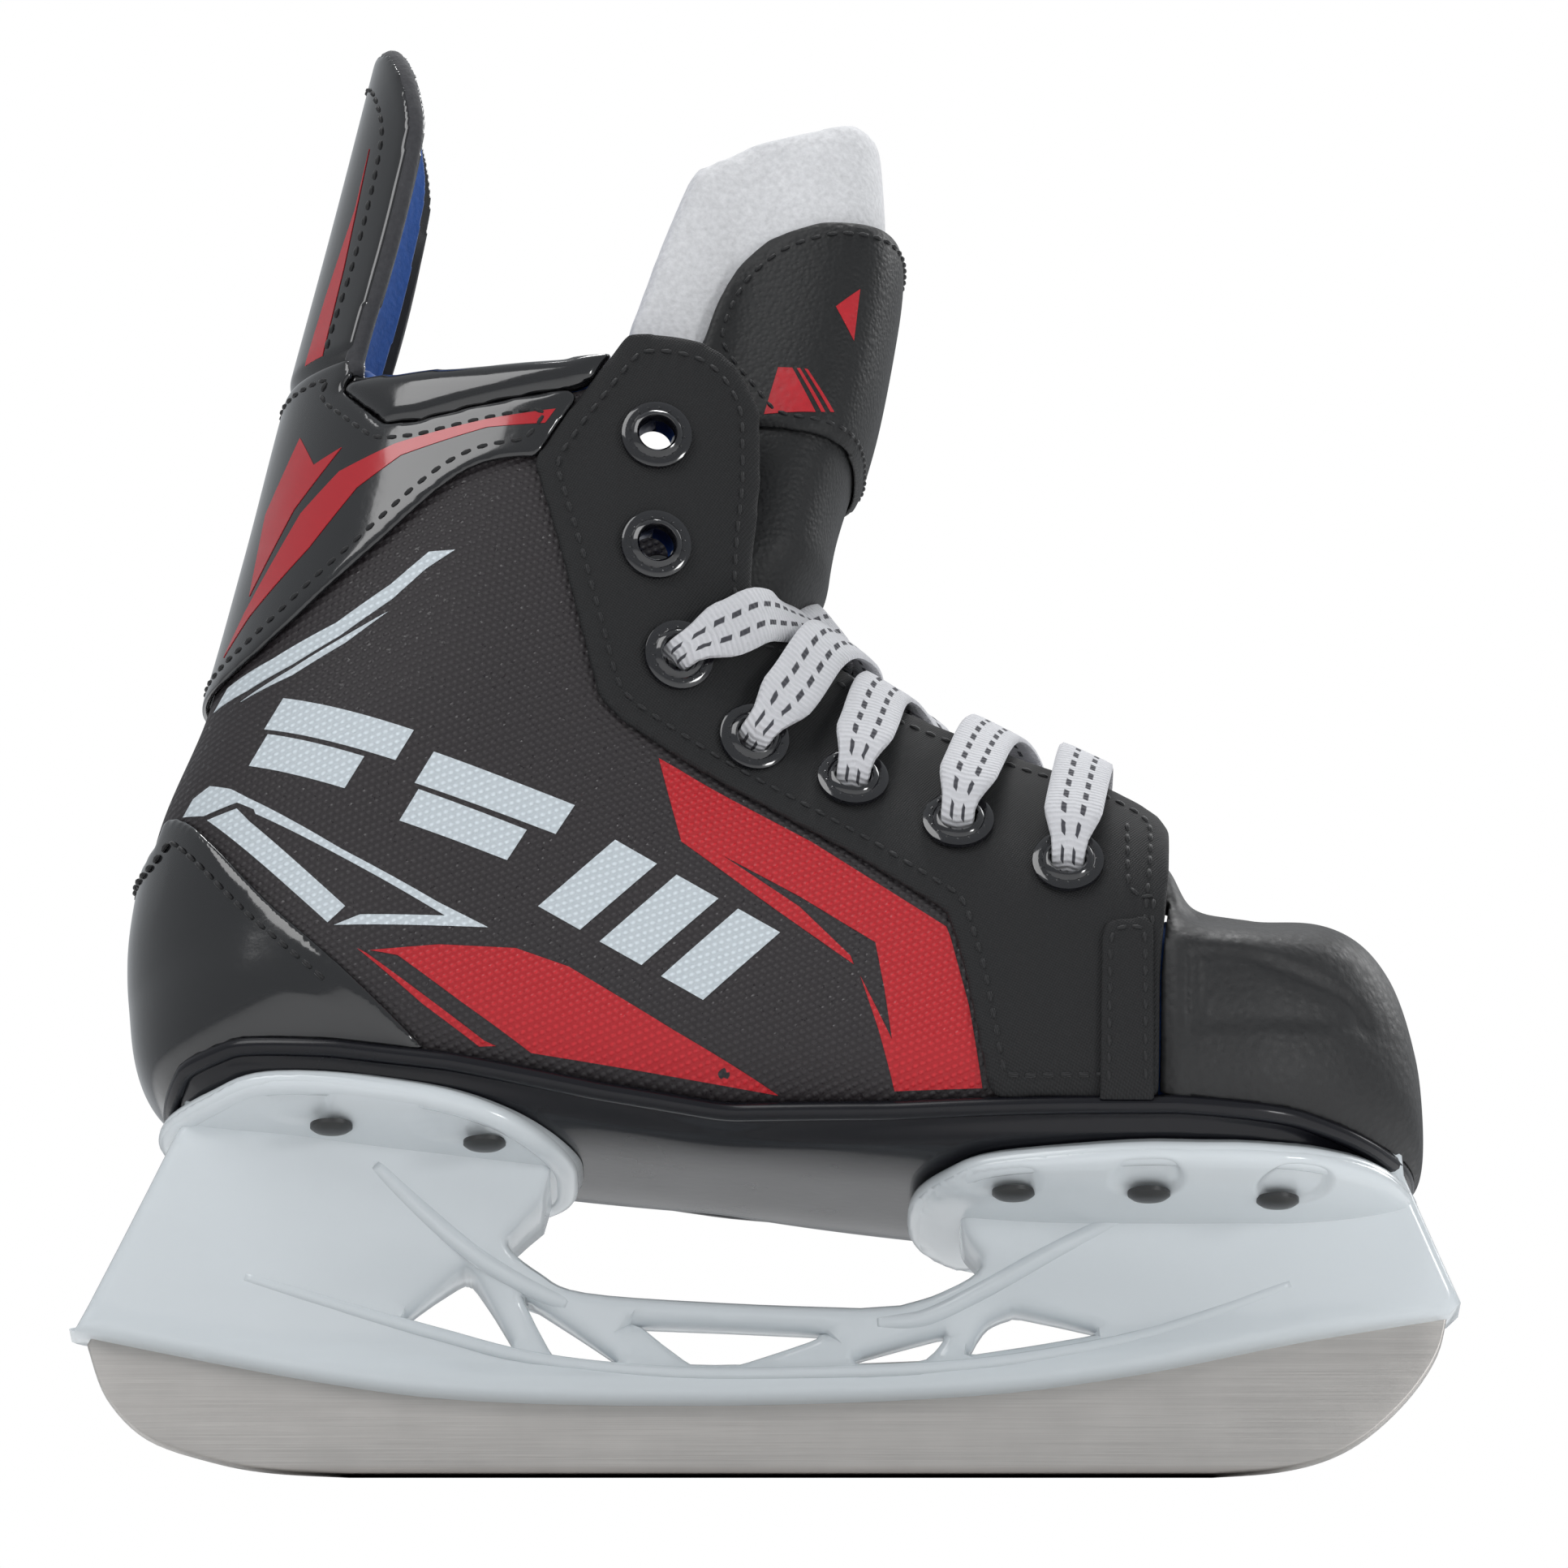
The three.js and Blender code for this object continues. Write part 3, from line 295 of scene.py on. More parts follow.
@dataclass(frozen=True)
class Nylon(Finish):
    """Fine plain-woven nylon."""

    pitch: float = 0.55

    def dress(self, g: Graph) -> None:
        """Two crossed thread directions."""
        x, y, z = g.axes(g.place(turn=0.3))
        turn = 2 * math.pi / self.pitch
        warp = (x * turn).maths("SINE")
        weft = ((z + y * 0.6) * turn).maths("SINE")
        cross = warp * weft
        soft = g.noise(0.05, 3.0)
        # light and shade are lit and shaded copies of the colour: the raised thread crossings are painted
        # lighter and the dips darker, as painted highlight and painted shade; soft adds tone that differs at
        # random
        light = tuple(c * 1.35 + 0.004 for c in self.colour)
        shade = tuple(c * 0.75 for c in self.colour)
        g.feed(g.shader.inputs["Base Color"], g.mix(cross * 0.3 + 0.35 + soft * 0.3, shade, light))
        g.feed(g.shader.inputs["Roughness"], self.roughness - cross * 0.06 + soft * 0.1)
        g.relief(cross + g.noise(1.5, 2.0) * 0.5, self.depth * 2)


@dataclass(frozen=True)
class Pebbled(Finish):
    """Moulded plastic or vinyl with a leathery grain."""

    grain: float = 0.9

    def dress(self, g: Graph) -> None:
        """Rounded cells whose high spots are painted lighter, as a painted highlight."""
        cells = g.add(
            "ShaderNodeTexVoronoi", {"feature": "SMOOTH_F1"},
            {"Vector": g.place(), "Scale": self.grain, "Smoothness": 0.6},
        )
        fine = g.noise(2.0, 3.0)
        # light is a lit copy of the colour, laid on the raised cells and grain that make the bump, as a
        # painted highlight
        light = tuple(c * 1.3 + 0.003 for c in self.colour)
        g.feed(g.shader.inputs["Base Color"], g.mix(cells * 0.8 + fine * 0.3, self.colour, light))
        g.feed(g.shader.inputs["Roughness"], cells * 0.15 + fine * 0.12 + (self.roughness - 0.1))
        g.relief(cells * 0.8 + fine * 0.3, self.depth * 6)


@dataclass(frozen=True)
class Pile(Finish):
    """Felt or brushed terry."""

    loops: float = 1.2

    def dress(self, g: Graph) -> None:
        """Soft tufts in two sizes."""
        tuft = g.noise(self.loops, 5.0)
        cloud = g.noise(0.06, 2.0)
        # light and shade are lit and shaded copies of the colour: raised tufts are painted lighter and low
        # ones darker, as painted highlight and painted shade; cloud adds tone that differs at random
        light = tuple(min(c * 1.15 + 0.01, 1.0) for c in self.colour)
        shade = tuple(c * 0.72 for c in self.colour)
        blend = (tuft * 1.1 + cloud * 0.3 - 0.2).maths("MINIMUM", 1.0)
        g.feed(g.shader.inputs["Base Color"], g.mix(blend, shade, light))
        g.relief(tuft, self.depth * 12, 0.7)


@dataclass(frozen=True)
class Ground(Finish):
    """Steel ground along X, with streaked tone and a dull, darker lower edge."""

    edge: float = 1.6

    def dress(self, g: Graph) -> None:
        """Long fine scratches, and a darker, rougher band along the bottom edge."""
        streak = g.noise(1.0, 4.0, g.place((0.05, 1.0, 6.0)))
        patch = g.noise(0.12, 4.0)
        _, _, z = g.axes(g.place())
        # This band darkens and roughens the runner towards its bottom edge, fading out between 0.2 mm and
        # edge above the ice.
        bottom_band = 1 - z.step(0.2, self.edge)
        # light and shade are lit and shaded copies of the colour: the ground streaks are painted lighter on
        # their ridges and darker in their grooves, as painted highlight and painted shade; patch adds tone
        # that differs at random
        light = tuple(min(c * 1.1, 1.0) for c in self.colour)
        shade = tuple(c * 0.72 for c in self.colour)
        tone = g.mix(streak * 0.75 + patch * 0.35 - 0.05, shade, light)
        g.feed(g.shader.inputs["Base Color"], g.mix(bottom_band * 0.5, tone, (0.28, 0.25, 0.23)))
        g.feed(g.shader.inputs["Roughness"], streak * 0.2 + bottom_band * 0.15 + (self.roughness - 0.08))
        g.relief(streak, self.depth)


@dataclass(frozen=True)
class FlatLace(Finish):
    """Flat cotton lace with two rows of dark tracer dashes, on the lace's own UV."""

    dash: float = 3.6

    def dress(self, g: Graph) -> None:
        """Knit ribs along the lace and dashes beside its middle."""
        u, v, _ = g.axes(g.add("ShaderNodeUVMap", {"uv_map": "lace"}, {}))
        rib = (v * (2 * math.pi / 0.9) + (u - 0.5).maths("ABSOLUTE") * 9.0).maths("SINE")
        rows = (((u - 0.5).maths("ABSOLUTE") - 0.17).maths("ABSOLUTE")).step(0.035, 0.06)
        side = (u - 0.5).maths("SIGN") * 0.25
        beat = ((v + u * 6.0) * (1 / self.dash) + side).maths("FRACT")
        mark = (1 - rows) * (1 - beat.step(0.55, 0.6))
        tuft = g.noise(1.6, 3.0)
        # cotton puts a shaded copy of the colour in the hollows of the ribs and tufts that make the bump, as
        # painted shade; the dark dashes are print
        cotton = g.mix(rib * 0.2 + tuft * 0.6, tuple(c * 0.8 for c in self.colour), self.colour)
        g.feed(g.shader.inputs["Base Color"], g.mix(mark * 0.94, cotton, (0.02, 0.02, 0.03)))
        g.relief(rib * 0.5 + tuft, self.depth * 8)


HOLDER = Finish("holder_gloss_white", (0.72, 0.765, 0.79), 0.2, coat=0.5, depth=0.008)
PATENT = Finish("patent_black", (0.006, 0.006, 0.007), 0.14, coat=1.0, depth=0.03)
SOLE = Finish("sole_black", (0.006, 0.006, 0.009), 0.26, coat=0.2, specular=0.3)
ENAMEL = Finish("gloss_enamel", (0.006, 0.006, 0.008), 0.12, coat=1.0)
RIVET = Finish("rivet_gunmetal", (0.07, 0.07, 0.07), 0.38, metallic=0.7)
ZINC = Finish("zinc_steel", (0.5, 0.5, 0.5), 0.35, metallic=1.0)
STEEL = Ground("ground_runner", (0.66, 0.63, 0.6), 0.42, metallic=0.9)
QUARTER = CoatedWeave("coated_weave_black", (0.02, 0.0155, 0.0175), 0.5)
INK_WHITE = CoatedWeave("ink_white", (0.62, 0.68, 0.72), 0.5, sparkle=0.15)
INK_RED = CoatedWeave("ink_red", (0.5, 0.004, 0.012), 0.42, sparkle=0.2)
GLOSS_RED = Finish("gloss_red", (0.45, 0.004, 0.012), 0.16, coat=0.8)
MATT_RED = Pebbled("matt_red", (0.42, 0.006, 0.014), 0.5)
NYLON = Nylon("nylon_black", (0.013, 0.013, 0.0138), 0.66, specular=0.35)
CAP = Pebbled("toe_cap_black", (0.013, 0.013, 0.0135), 0.5, grain=0.75)
VINYL = Pebbled("pebbled_vinyl", (0.009, 0.0092, 0.0096), 0.5, specular=0.4, grain=1.4)
FELT = Pile("white_felt", (0.76, 0.76, 0.775), 0.95, sheen=0.1)
GREY_FELT = Pile("grey_felt", (0.05, 0.05, 0.055), 0.95, sheen=0.2)
TERRY = Pile("blue_lining", (0.022, 0.1, 0.38), 0.9, sheen=0.4, loops=0.9)
THREAD = Finish("black_thread", (0.008, 0.008, 0.009), 0.55, sheen=0.2)
BOARD = Pebbled("fibre_board", (0.3, 0.24, 0.17), 0.9)
LACE = FlatLace("woven_lace", (0.76, 0.76, 0.79), 0.85, sheen=0.1)


# ------------------------------------------------------------------ lines and regions
def smooth(points: Line, steps: int = 5, closed: bool = False) -> np.ndarray:
    """A Catmull-Rom curve through points.

    Args:
        points: the points.
        steps: stretches between two points.
        closed: whether the last point joins the first.

    Returns:
        The curve's points.
    """
    p = np.asarray(points, float)
    n = len(p)
    at = (lambda i: p[i % n]) if closed else (lambda i: p[min(max(i, 0), n - 1)])
    out = []
    for i in range(n if closed else n - 1):
        a, b, c, d = at(i - 1), at(i), at(i + 1), at(i + 2)
        for t in np.arange(steps) / steps:
            out.append(
                0.5 * (2 * b + (c - a) * t + (2 * a - 5 * b + 4 * c - d) * t**2
                       + (3 * b - a - 3 * c + d) * t**3)
            )
    return np.array(out if closed else out + [p[-1]])


def distance_inside(spots: np.ndarray, outline: np.ndarray) -> np.ndarray:
    """Distance from the outline, positive inside it.

    Args:
        spots: points in the outline's plane, any leading shape.
        outline: the closed outline.

    Returns:
        One distance per point.
    """
    flat = spots.reshape(-1, 2)
    best = np.full(len(flat), 1e9)
    odd = np.zeros(len(flat), bool)
    for a, b in zip(outline, np.roll(outline, -1, 0)):
        edge, off = b - a, flat - a
        t = np.clip(off @ edge / max(edge @ edge, 1e-12), 0, 1)
        best = np.minimum(best, np.hypot(*(off - t[:, None] * edge).T))
        if a[1] != b[1]:
            crosses = (a[1] > flat[:, 1]) != (b[1] > flat[:, 1])
            odd ^= crosses & (flat[:, 0] < a[0] + (flat[:, 1] - a[1]) * edge[0] / edge[1])
    return np.where(odd, best, -best).reshape(spots.shape[:-1])


class Seen(Enum):
    """The direction an outline is drawn from, as the two axes it uses."""

    SIDE = (0, 2)
    TOP = (0, 1)
    FRONT = (1, 2)


def within(outline: Line, seen: Seen = Seen.SIDE) -> Region:
    """The region inside an outline."""
    edge = np.asarray(outline, float)
    return lambda p: distance_inside(p[..., list(seen.value)], edge)


def both(*regions: Region) -> Region:
    """The region that all the given ones share."""
    return lambda p: np.minimum.reduce([r(p) for r in regions])


def outside(region: Region, gap: float = 0.0) -> Region:
    """What lies outside a region by a gap."""
    return lambda p: -region(p) - gap


def outer_side(p: np.ndarray) -> np.ndarray:
    """Distance into the outer half, past the middle seam."""
    return -p[..., 1] - SEAM


def inner_side(p: np.ndarray) -> np.ndarray:
    """Distance into the inner half, past the middle seam."""
    return p[..., 1] - SEAM


def eased(value: np.ndarray, low: float, high: float) -> np.ndarray:
    """Smooth step from 0 at low to 1 at high."""
    t = np.clip((value - low) / (high - low), 0, 1)
    return t * t * (3 - 2 * t)


# ------------------------------------------------------------------ meshes
def mesh_piece(name: str, points: np.ndarray, faces: list, finish: Finish) -> bpy.types.Object:
    """A mesh object at the origin, smooth shaded, with doubled points merged.

    Args:
        name: the piece's name.
        points: its points in millimetres.
        faces: its faces as lists of point numbers.
        finish: its finish.

    Returns:
        The object.
    """
    data = bpy.data.meshes.new(name)
    data.from_pydata((np.asarray(points) * MM).tolist(), [], [list(map(int, f)) for f in faces])
    work = bmesh.new()
    work.from_mesh(data)
    bmesh.ops.remove_doubles(work, verts=work.verts, dist=0.015 * MM)
    bmesh.ops.dissolve_degenerate(work, edges=work.edges, dist=0.005 * MM)
    bmesh.ops.recalc_face_normals(work, faces=work.faces)
    work.to_mesh(data)
    work.free()
    data.shade_smooth()
    data.materials.append(finish.material())
    piece = bpy.data.objects.new(name, data)
    bpy.context.scene.collection.objects.link(piece)
    return piece


def only(piece: bpy.types.Object) -> None:
    """Make a piece the one selected and active object."""
    for other in bpy.context.selected_objects:
        other.select_set(False)
    piece.select_set(True)
    bpy.context.view_layer.objects.active = piece


def modify(piece: bpy.types.Object, kind: str, **settings: object) -> None:
    """Add a modifier and apply it.

    Args:
        piece: the object.
        kind: the modifier's type.
        settings: its properties.
    """
    only(piece)
    made = piece.modifiers.new(kind.title(), kind)
    for key, value in settings.items():
        setattr(made, key, value)
    bpy.ops.object.modifier_apply(modifier=made.name)


def soften(piece: bpy.types.Object, levels: int = 1) -> None:
    """Round a piece by subdivision."""
    modify(piece, "SUBSURF", levels=levels, render_levels=levels)


def crisp(piece: bpy.types.Object, degrees: float = 35.0) -> None:
    """Smooth shading that keeps edges over an angle."""
    only(piece)
    bpy.ops.object.shade_smooth_by_angle(angle=math.radians(degrees))


def joined(name: str, parts: list[bpy.types.Object]) -> bpy.types.Object:
    """Join objects into the first, renamed.

    Args:
        name: the joined piece's name.
        parts: the objects.

    Returns:
        The joined object.
    """
    only(parts[0])
    for part in parts[1:]:
        part.select_set(True)
    bpy.ops.object.join()
    parts[0].name = parts[0].data.name = name
    return parts[0]


def frames_along(points: np.ndarray, closed: bool) -> tuple[np.ndarray, np.ndarray, np.ndarray]:
    """Tangents and two cross directions carried along a line.

    Args:
        points: the line.
        closed: whether it closes.

    Returns:
        Tangents, first and second cross directions.
    """
    ahead = np.roll(points, -1, 0) - np.roll(points, 1, 0)
    if not closed:
        ahead[0], ahead[-1] = points[1] - points[0], points[-1] - points[-2]
    tangents = ahead / np.maximum(np.linalg.norm(ahead, axis=1, keepdims=True), 1e-9)
    guess = np.array([0, 0, 1.0]) if abs(tangents[0][2]) < 0.9 else np.array([1.0, 0, 0])
    first = []
    for t in tangents:
        guess = guess - t * (guess @ t)
        guess = guess / max(np.linalg.norm(guess), 1e-9)
        first.append(guess)
    firsts = np.array(first)
    return tangents, firsts, np.cross(tangents, firsts)


def tube(name: str, line: np.ndarray, radius: float, finish: Finish, closed: bool = True,
         sides: int = 10) -> bpy.types.Object:
    """A round bead along a line.

    Args:
        name: the piece's name.
        line: its centre line.
        radius: its radius.
        finish: its finish.
        closed: whether it closes on itself.
        sides: corners of its section.

    Returns:
        The object.
    """
    _, first, second = frames_along(line, closed)
    n = len(line)
    angles = 2 * np.pi * np.arange(sides) / sides
    rings = (line[:, None] + radius * (np.cos(angles)[None, :, None] * first[:, None]
                                       + np.sin(angles)[None, :, None] * second[:, None]))
    faces = []
    if closed:
        shift = min(range(sides), key=lambda s: np.linalg.norm(rings[0] - np.roll(rings[-1], s, 0)))
    for i in range(n if closed else n - 1):
        for j in range(sides):
            k = (j + 1) % sides
            if i == n - 1:
                a, b = (j - shift) % sides, (k - shift) % sides
                faces.append((i * sides + a, i * sides + b, k, j))
            else:
                faces.append((i * sides + j, i * sides + k, (i + 1) * sides + k, (i + 1) * sides + j))
    if not closed:
        faces += [tuple(range(sides)), tuple(range((n - 1) * sides, n * sides))]
    return mesh_piece(name, rings.reshape(-1, 3), faces, finish)


def spaced(line: np.ndarray, gap: float, closed: bool) -> np.ndarray:
    """The same line with even steps.

    Args:
        line: points with any number of columns; the first three are the place.
        gap: about how far apart.
        closed: whether the last joins the first.

    Returns:
        The evenly spaced rows.
    """
    loop = np.vstack([line, line[:1]]) if closed else line
    run = np.concatenate([[0], np.cumsum(np.linalg.norm(np.diff(loop[:, :3], axis=0), axis=1))])
    count = max(int(round(run[-1] / gap)), 2)
    spots = np.linspace(0, run[-1], count + 1)
    out = np.array([np.interp(spots, run, column) for column in loop.T]).T
    return out[:-1] if closed else out


@dataclass
class Stitching:
    """Rows of short thread stitches."""

    pitch: float = 2.7
    length: float = 2.0
    width: float = 0.75

    def sew(self, name: str, runs: list[np.ndarray], finish: Finish = THREAD) -> bpy.types.Object:
        """Lay stitches along lines.

        Args:
            name: the piece's name.
            runs: lines of six columns, place and outward direction.
            finish: the thread's finish.

        Returns:
            One object that holds every stitch.
        """
        sides, places, faces = 6, [], []
        spans = ((-0.5, 0.0, -0.45), (-0.36, 0.8, 0.0), (0.0, 1.0, 0.12), (0.36, 0.8, 0.0), (0.5, 0.0, -0.45))
        for run in runs:
            spots = spaced(run, self.pitch, False)
            for before, after in zip(spots[:-1], spots[1:]):
                ahead = after[:3] - before[:3]
                reach = np.linalg.norm(ahead)
                if reach < 0.2:
                    continue
                ahead = ahead / reach
                up = before[3:] + after[3:]
                up = up - ahead * (up @ ahead)
                up = up / max(np.linalg.norm(up), 1e-9)
                cross = np.cross(ahead, up)
                middle = (before[:3] + after[:3]) / 2
                base = len(places)
                for along, swell, lift in spans:
                    centre = middle + ahead * along * self.length + up * lift * self.width
                    for k in range(sides):
                        a = 2 * math.pi * k / sides
                        r = self.width / 2 * max(swell, 0.25)
                        places.append(centre + r * (math.cos(a) * cross + math.sin(a) * up))
                for ring in range(len(spans) - 1):
                    for k in range(sides):
                        m = (k + 1) % sides
                        low, high = base + ring * sides, base + (ring + 1) * sides
                        faces.append((low + k, low + m, high + m, high + k))
                faces.append(tuple(base + k for k in range(sides)))
                faces.append(tuple(base + (len(spans) - 1) * sides + k for k in range(sides)))
        return mesh_piece(name, np.array(places), faces, finish)


def lathe(profile: Line, sides: int = 40) -> tuple[np.ndarray, list]:
    """Points and faces of a closed profile spun about its own axis.

    Args:
        profile: closed outline of (radius, height).
        sides: steps round the axis.

    Returns:
        Points about the Z axis, and faces.
    """
    p = np.asarray(profile, float)
    n = len(p)
    turns = 2 * np.pi * np.arange(sides) / sides
    points = np.array([[r * math.cos(t), r * math.sin(t), h] for t in turns for r, h in p])
    faces = [
        (i * n + j, ((i + 1) % sides) * n + j, ((i + 1) % sides) * n + (j + 1) % n, i * n + (j + 1) % n)
        for i in range(sides) for j in range(n)
    ]
    return points, faces


def stood(points: np.ndarray, place: Sequence[float], direction: Sequence[float]) -> np.ndarray:
    """Points made about Z, moved to a place with Z along a direction."""
    turn = Vector((0, 0, 1)).rotation_difference(Vector(direction))
    return points @ np.array(turn.to_matrix()).T + np.asarray(place)


# ------------------------------------------------------------------ the boot's form
SEAM = 0.15  # half the gap between the outer and inner halves
GAP = 0.3
WALL = 2.0
OVERLAY = 1.6  # outer face of the overlays
SOLE_FACE = 2.6
HOLDER_TOP = 2.9
# Each section: front or upper ridge (x, z), back or sole (x, z), half width, two roundness powers, shift.
SECTIONS = np.array([
    (25, 240, -59, 242, 27, 2.4, 2, 0), (21.5, 205, -67.5, 204.5, 28.5, 2.6, 2, 0),
    (16.5, 174, -75.5, 171, 31, 2.8, 2, 0), (10.5, 152, -81, 147, 33, 2.8, 2, 0),
    (9.5, 137, -87.5, 122, 34, 2.5, 2, 0), (13.5, 129.5, -95.5, 100, 34, 2.3, 2, 0),
    (21, 123.5, -97, 76, 32.5, 2.2, 2.1, 0), (27, 120.8, -91, 57.5, 31.5, 2.2, 2.6, 0),
    (33, 118, -64, 53.5, 31.5, 2.2, 3.2, 0), (44, 112, -17, 49.5, 33, 2.2, 3.8, 0.5),
    (53.5, 107, 33, 45, 35.5, 2.3, 4, 1), (60.5, 101.5, 60, 44.5, 36, 2.4, 4, 1.4),
    (65, 93, 70, 44.5, 35.5, 2.5, 3.8, 1.7), (75, 91, 79, 44.5, 34, 2.5, 3.6, 2.2),
    (86.5, 87.5, 89, 45.5, 29.5, 2.4, 3.2, 3), (94.5, 78, 96.5, 47.5, 21.5, 2.3, 2.8, 3.5),
    (98.5, 67, 99.5, 50, 12, 2.2, 2.4, 4), (99.8, 58, 99.8, 57, 0.5, 2, 2, 4),
], float)
LAST = len(SECTIONS) - 1
TOE_START = 11


def section_rows(positions: np.ndarray) -> np.ndarray:
    """Catmull-Rom rows between the sections, one per position counted in sections."""
    low = np.clip(np.floor(positions).astype(int), 0, LAST - 1)
    t = (positions - low)[:, None]
    b, c = SECTIONS[low], SECTIONS[low + 1]
    a = np.where((low == 0)[:, None], 2 * b - c, SECTIONS[np.maximum(low - 1, 0)])
    d = np.where((low + 2 > LAST)[:, None], 2 * c - b, SECTIONS[np.minimum(low + 2, LAST)])
    return 0.5 * (2 * b + (c - a) * t + (2 * a - 5 * b + 4 * c - d) * t**2 + (3 * b - a - 3 * c + d) * t**3)


@dataclass
class Spots:
    """What a level may depend on: places on the bare form, distance inside the piece, turn and ridge."""

    place: np.ndarray
    inside: np.ndarray
    turn: np.ndarray
    ridge: np.ndarray


Level = Callable[[Spots], np.ndarray]


def flat(offset: float) -> Level:
    """The same offset everywhere."""
    return lambda s: np.full(s.turn.shape, float(offset))


def rounded(offset: float, drop: float, reach: float) -> Level:
    """An offset that falls by drop in a quarter round within reach of the edge."""
    def level(s: Spots) -> np.ndarray:
        """The offset at each spot."""
        t = np.clip(s.inside / reach, 0, 1)
        return offset - drop * (1 - np.sqrt(np.clip(1 - (1 - t) ** 2, 0, 1)))
    return level


@dataclass
class Window:
    """The stretch of the form that a piece needs, and how finely it is laid out."""

    rings: int = 150
    spokes: int = 150
    start: float = 0.0
    end: float = float(LAST)
    turns: tuple[float, float] | None = None


class FormGrid:
    """A grid of points on the boot's form."""

    def __init__(self, window: Window) -> None:
        """Lay the grid out.

        Args:
            window: its stretch and fineness.
        """
        self.wrap = window.turns is None
        self.positions = np.linspace(window.start, window.end, window.rings + 1)
        low, high = window.turns or (0.0, 2 * math.pi)
        self.turns = np.linspace(low, high, window.spokes + 1)
        if self.wrap:
            self.turns = self.turns[:-1]
        self.rows = section_rows(self.positions)
        self.turn = np.broadcast_to(self.turns, (len(self.positions), len(self.turns)))
        self.ridge = np.broadcast_to(self.rows[:, 1:2], self.turn.shape)
        self.bare = self.points(np.zeros(self.turn.shape))
        self.tip = window.end >= LAST

    def points(self, offset: np.ndarray) -> np.ndarray:
        """Points at an offset outside the form."""
        fx, fz, bx, bz, half, front, back, shift = (self.rows[:, k:k + 1] for k in range(8))
        depth = np.hypot(fx - bx, fz - bz)
        toe = eased(self.positions[:, None], TOE_START, LAST - 0.5)
        radial, across = np.maximum(depth / 2 + offset, 0.6), np.maximum(half + offset, 0.6)
        c, s = np.cos(self.turn), np.sin(self.turn)
        power = np.where(c > 0, front, back)
        along = np.sign(c) * np.abs(c) ** (2 / power) * radial
        side = np.sign(s) * np.abs(s) ** (2 / power) * across
        ux = np.where(depth > 2, (fx - bx) / depth, 0)
        uz = np.where(depth > 2, (fz - bz) / depth, 1)
        return np.stack([(fx + bx) / 2 + ux * along + toe * offset, shift - side,
                         (fz + bz) / 2 + uz * along], -1)

    def normals(self, points: np.ndarray) -> np.ndarray:
        """Outward directions at the grid's points."""
        along = np.gradient(points, axis=0)
        if self.wrap:
            round_ = np.roll(points, -1, 1) - np.roll(points, 1, 1)
        else:
            round_ = np.gradient(points, axis=1)
        n = np.cross(along, round_)
        n /= np.maximum(np.linalg.norm(n, axis=-1, keepdims=True), 1e-9)
        centre = (self.rows[:, 0:3:2] + 0)  # ridge x and sole x
        middle = np.stack([centre.mean(1), self.rows[:, 7], (self.rows[:, 1] + self.rows[:, 3]) / 2], -1)
        out = ((points - middle[:, None]) * n).sum(-1)
        return n * np.sign(out.sum())

    def level(self, rule: Level, inside: np.ndarray) -> np.ndarray:
        """Points at a level rule."""
        return self.points(rule(Spots(self.bare, inside, self.turn, self.ridge)))

    def clipped(self, inside: np.ndarray, snap: float = 0.25) -> tuple[np.ndarray, list]:
        """Cut the grid where the region ends.

        Args:
            inside: distance inside the region at each grid point.
            snap: a cut this close to a grid point, as a share of the step, moves that point.

        Returns:
            Point recipes (first, second, share of the second) and faces.
        """
        rows, cols = inside.shape
        value, number = inside.copy(), np.arange(rows * cols).reshape(rows, cols)
        nearest, partner = np.full(inside.shape, 1.0), number.copy()
        for down, right in ((1, 0), (-1, 0), (0, 1), (0, -1)):
            other = np.roll(inside, (-down, -right), (0, 1))
            names = np.roll(number, (-down, -right), (0, 1))
            real = np.ones(inside.shape, bool)
            if down:
                real[-1 if down > 0 else 0] = False
            elif not self.wrap:
                real[:, -1 if right > 0 else 0] = False
            with np.errstate(divide="ignore", invalid="ignore"):
                share = inside / (inside - other)
            near = real & (inside * other < 0) & (share < nearest)
            nearest[near], partner[near] = share[near], names[near]
        moved = nearest < snap
        value[moved] = 0.0
        recipes = [(int(i), int(p), float(t) if m else 0.0) for i, p, t, m in
                   zip(number.ravel(), partner.ravel(), nearest.ravel(), moved.ravel())]
        cut: dict[tuple[int, int], int] = {}
        v, faces = value.ravel(), []
        for i in range(rows - 1):
            for j in range(cols if self.wrap else cols - 1):
                k = (j + 1) % cols
                corners = (number[i, j], number[i + 1, j], number[i + 1, k], number[i, k])
                values = [v[c] for c in corners]
                if max(values) <= 0:
                    continue
                if min(values) >= 0:
                    faces.append(list(corners))
                    continue
                face = []
                for a, b, va, vb in zip(corners, corners[1:] + corners[:1], values, values[1:] + values[:1]):
                    if va >= 0:
                        face.append(a)
                    if va * vb < 0:
                        key = (min(a, b), max(a, b))
                        if key not in cut:
                            low, high = v[key[0]], v[key[1]]
                            cut[key] = len(recipes)
                            recipes.append((int(key[0]), int(key[1]), float(low / (low - high))))
                        face.append(cut[key])
                if len(face) > 2:
                    faces.append(face)
        return np.array(recipes), faces

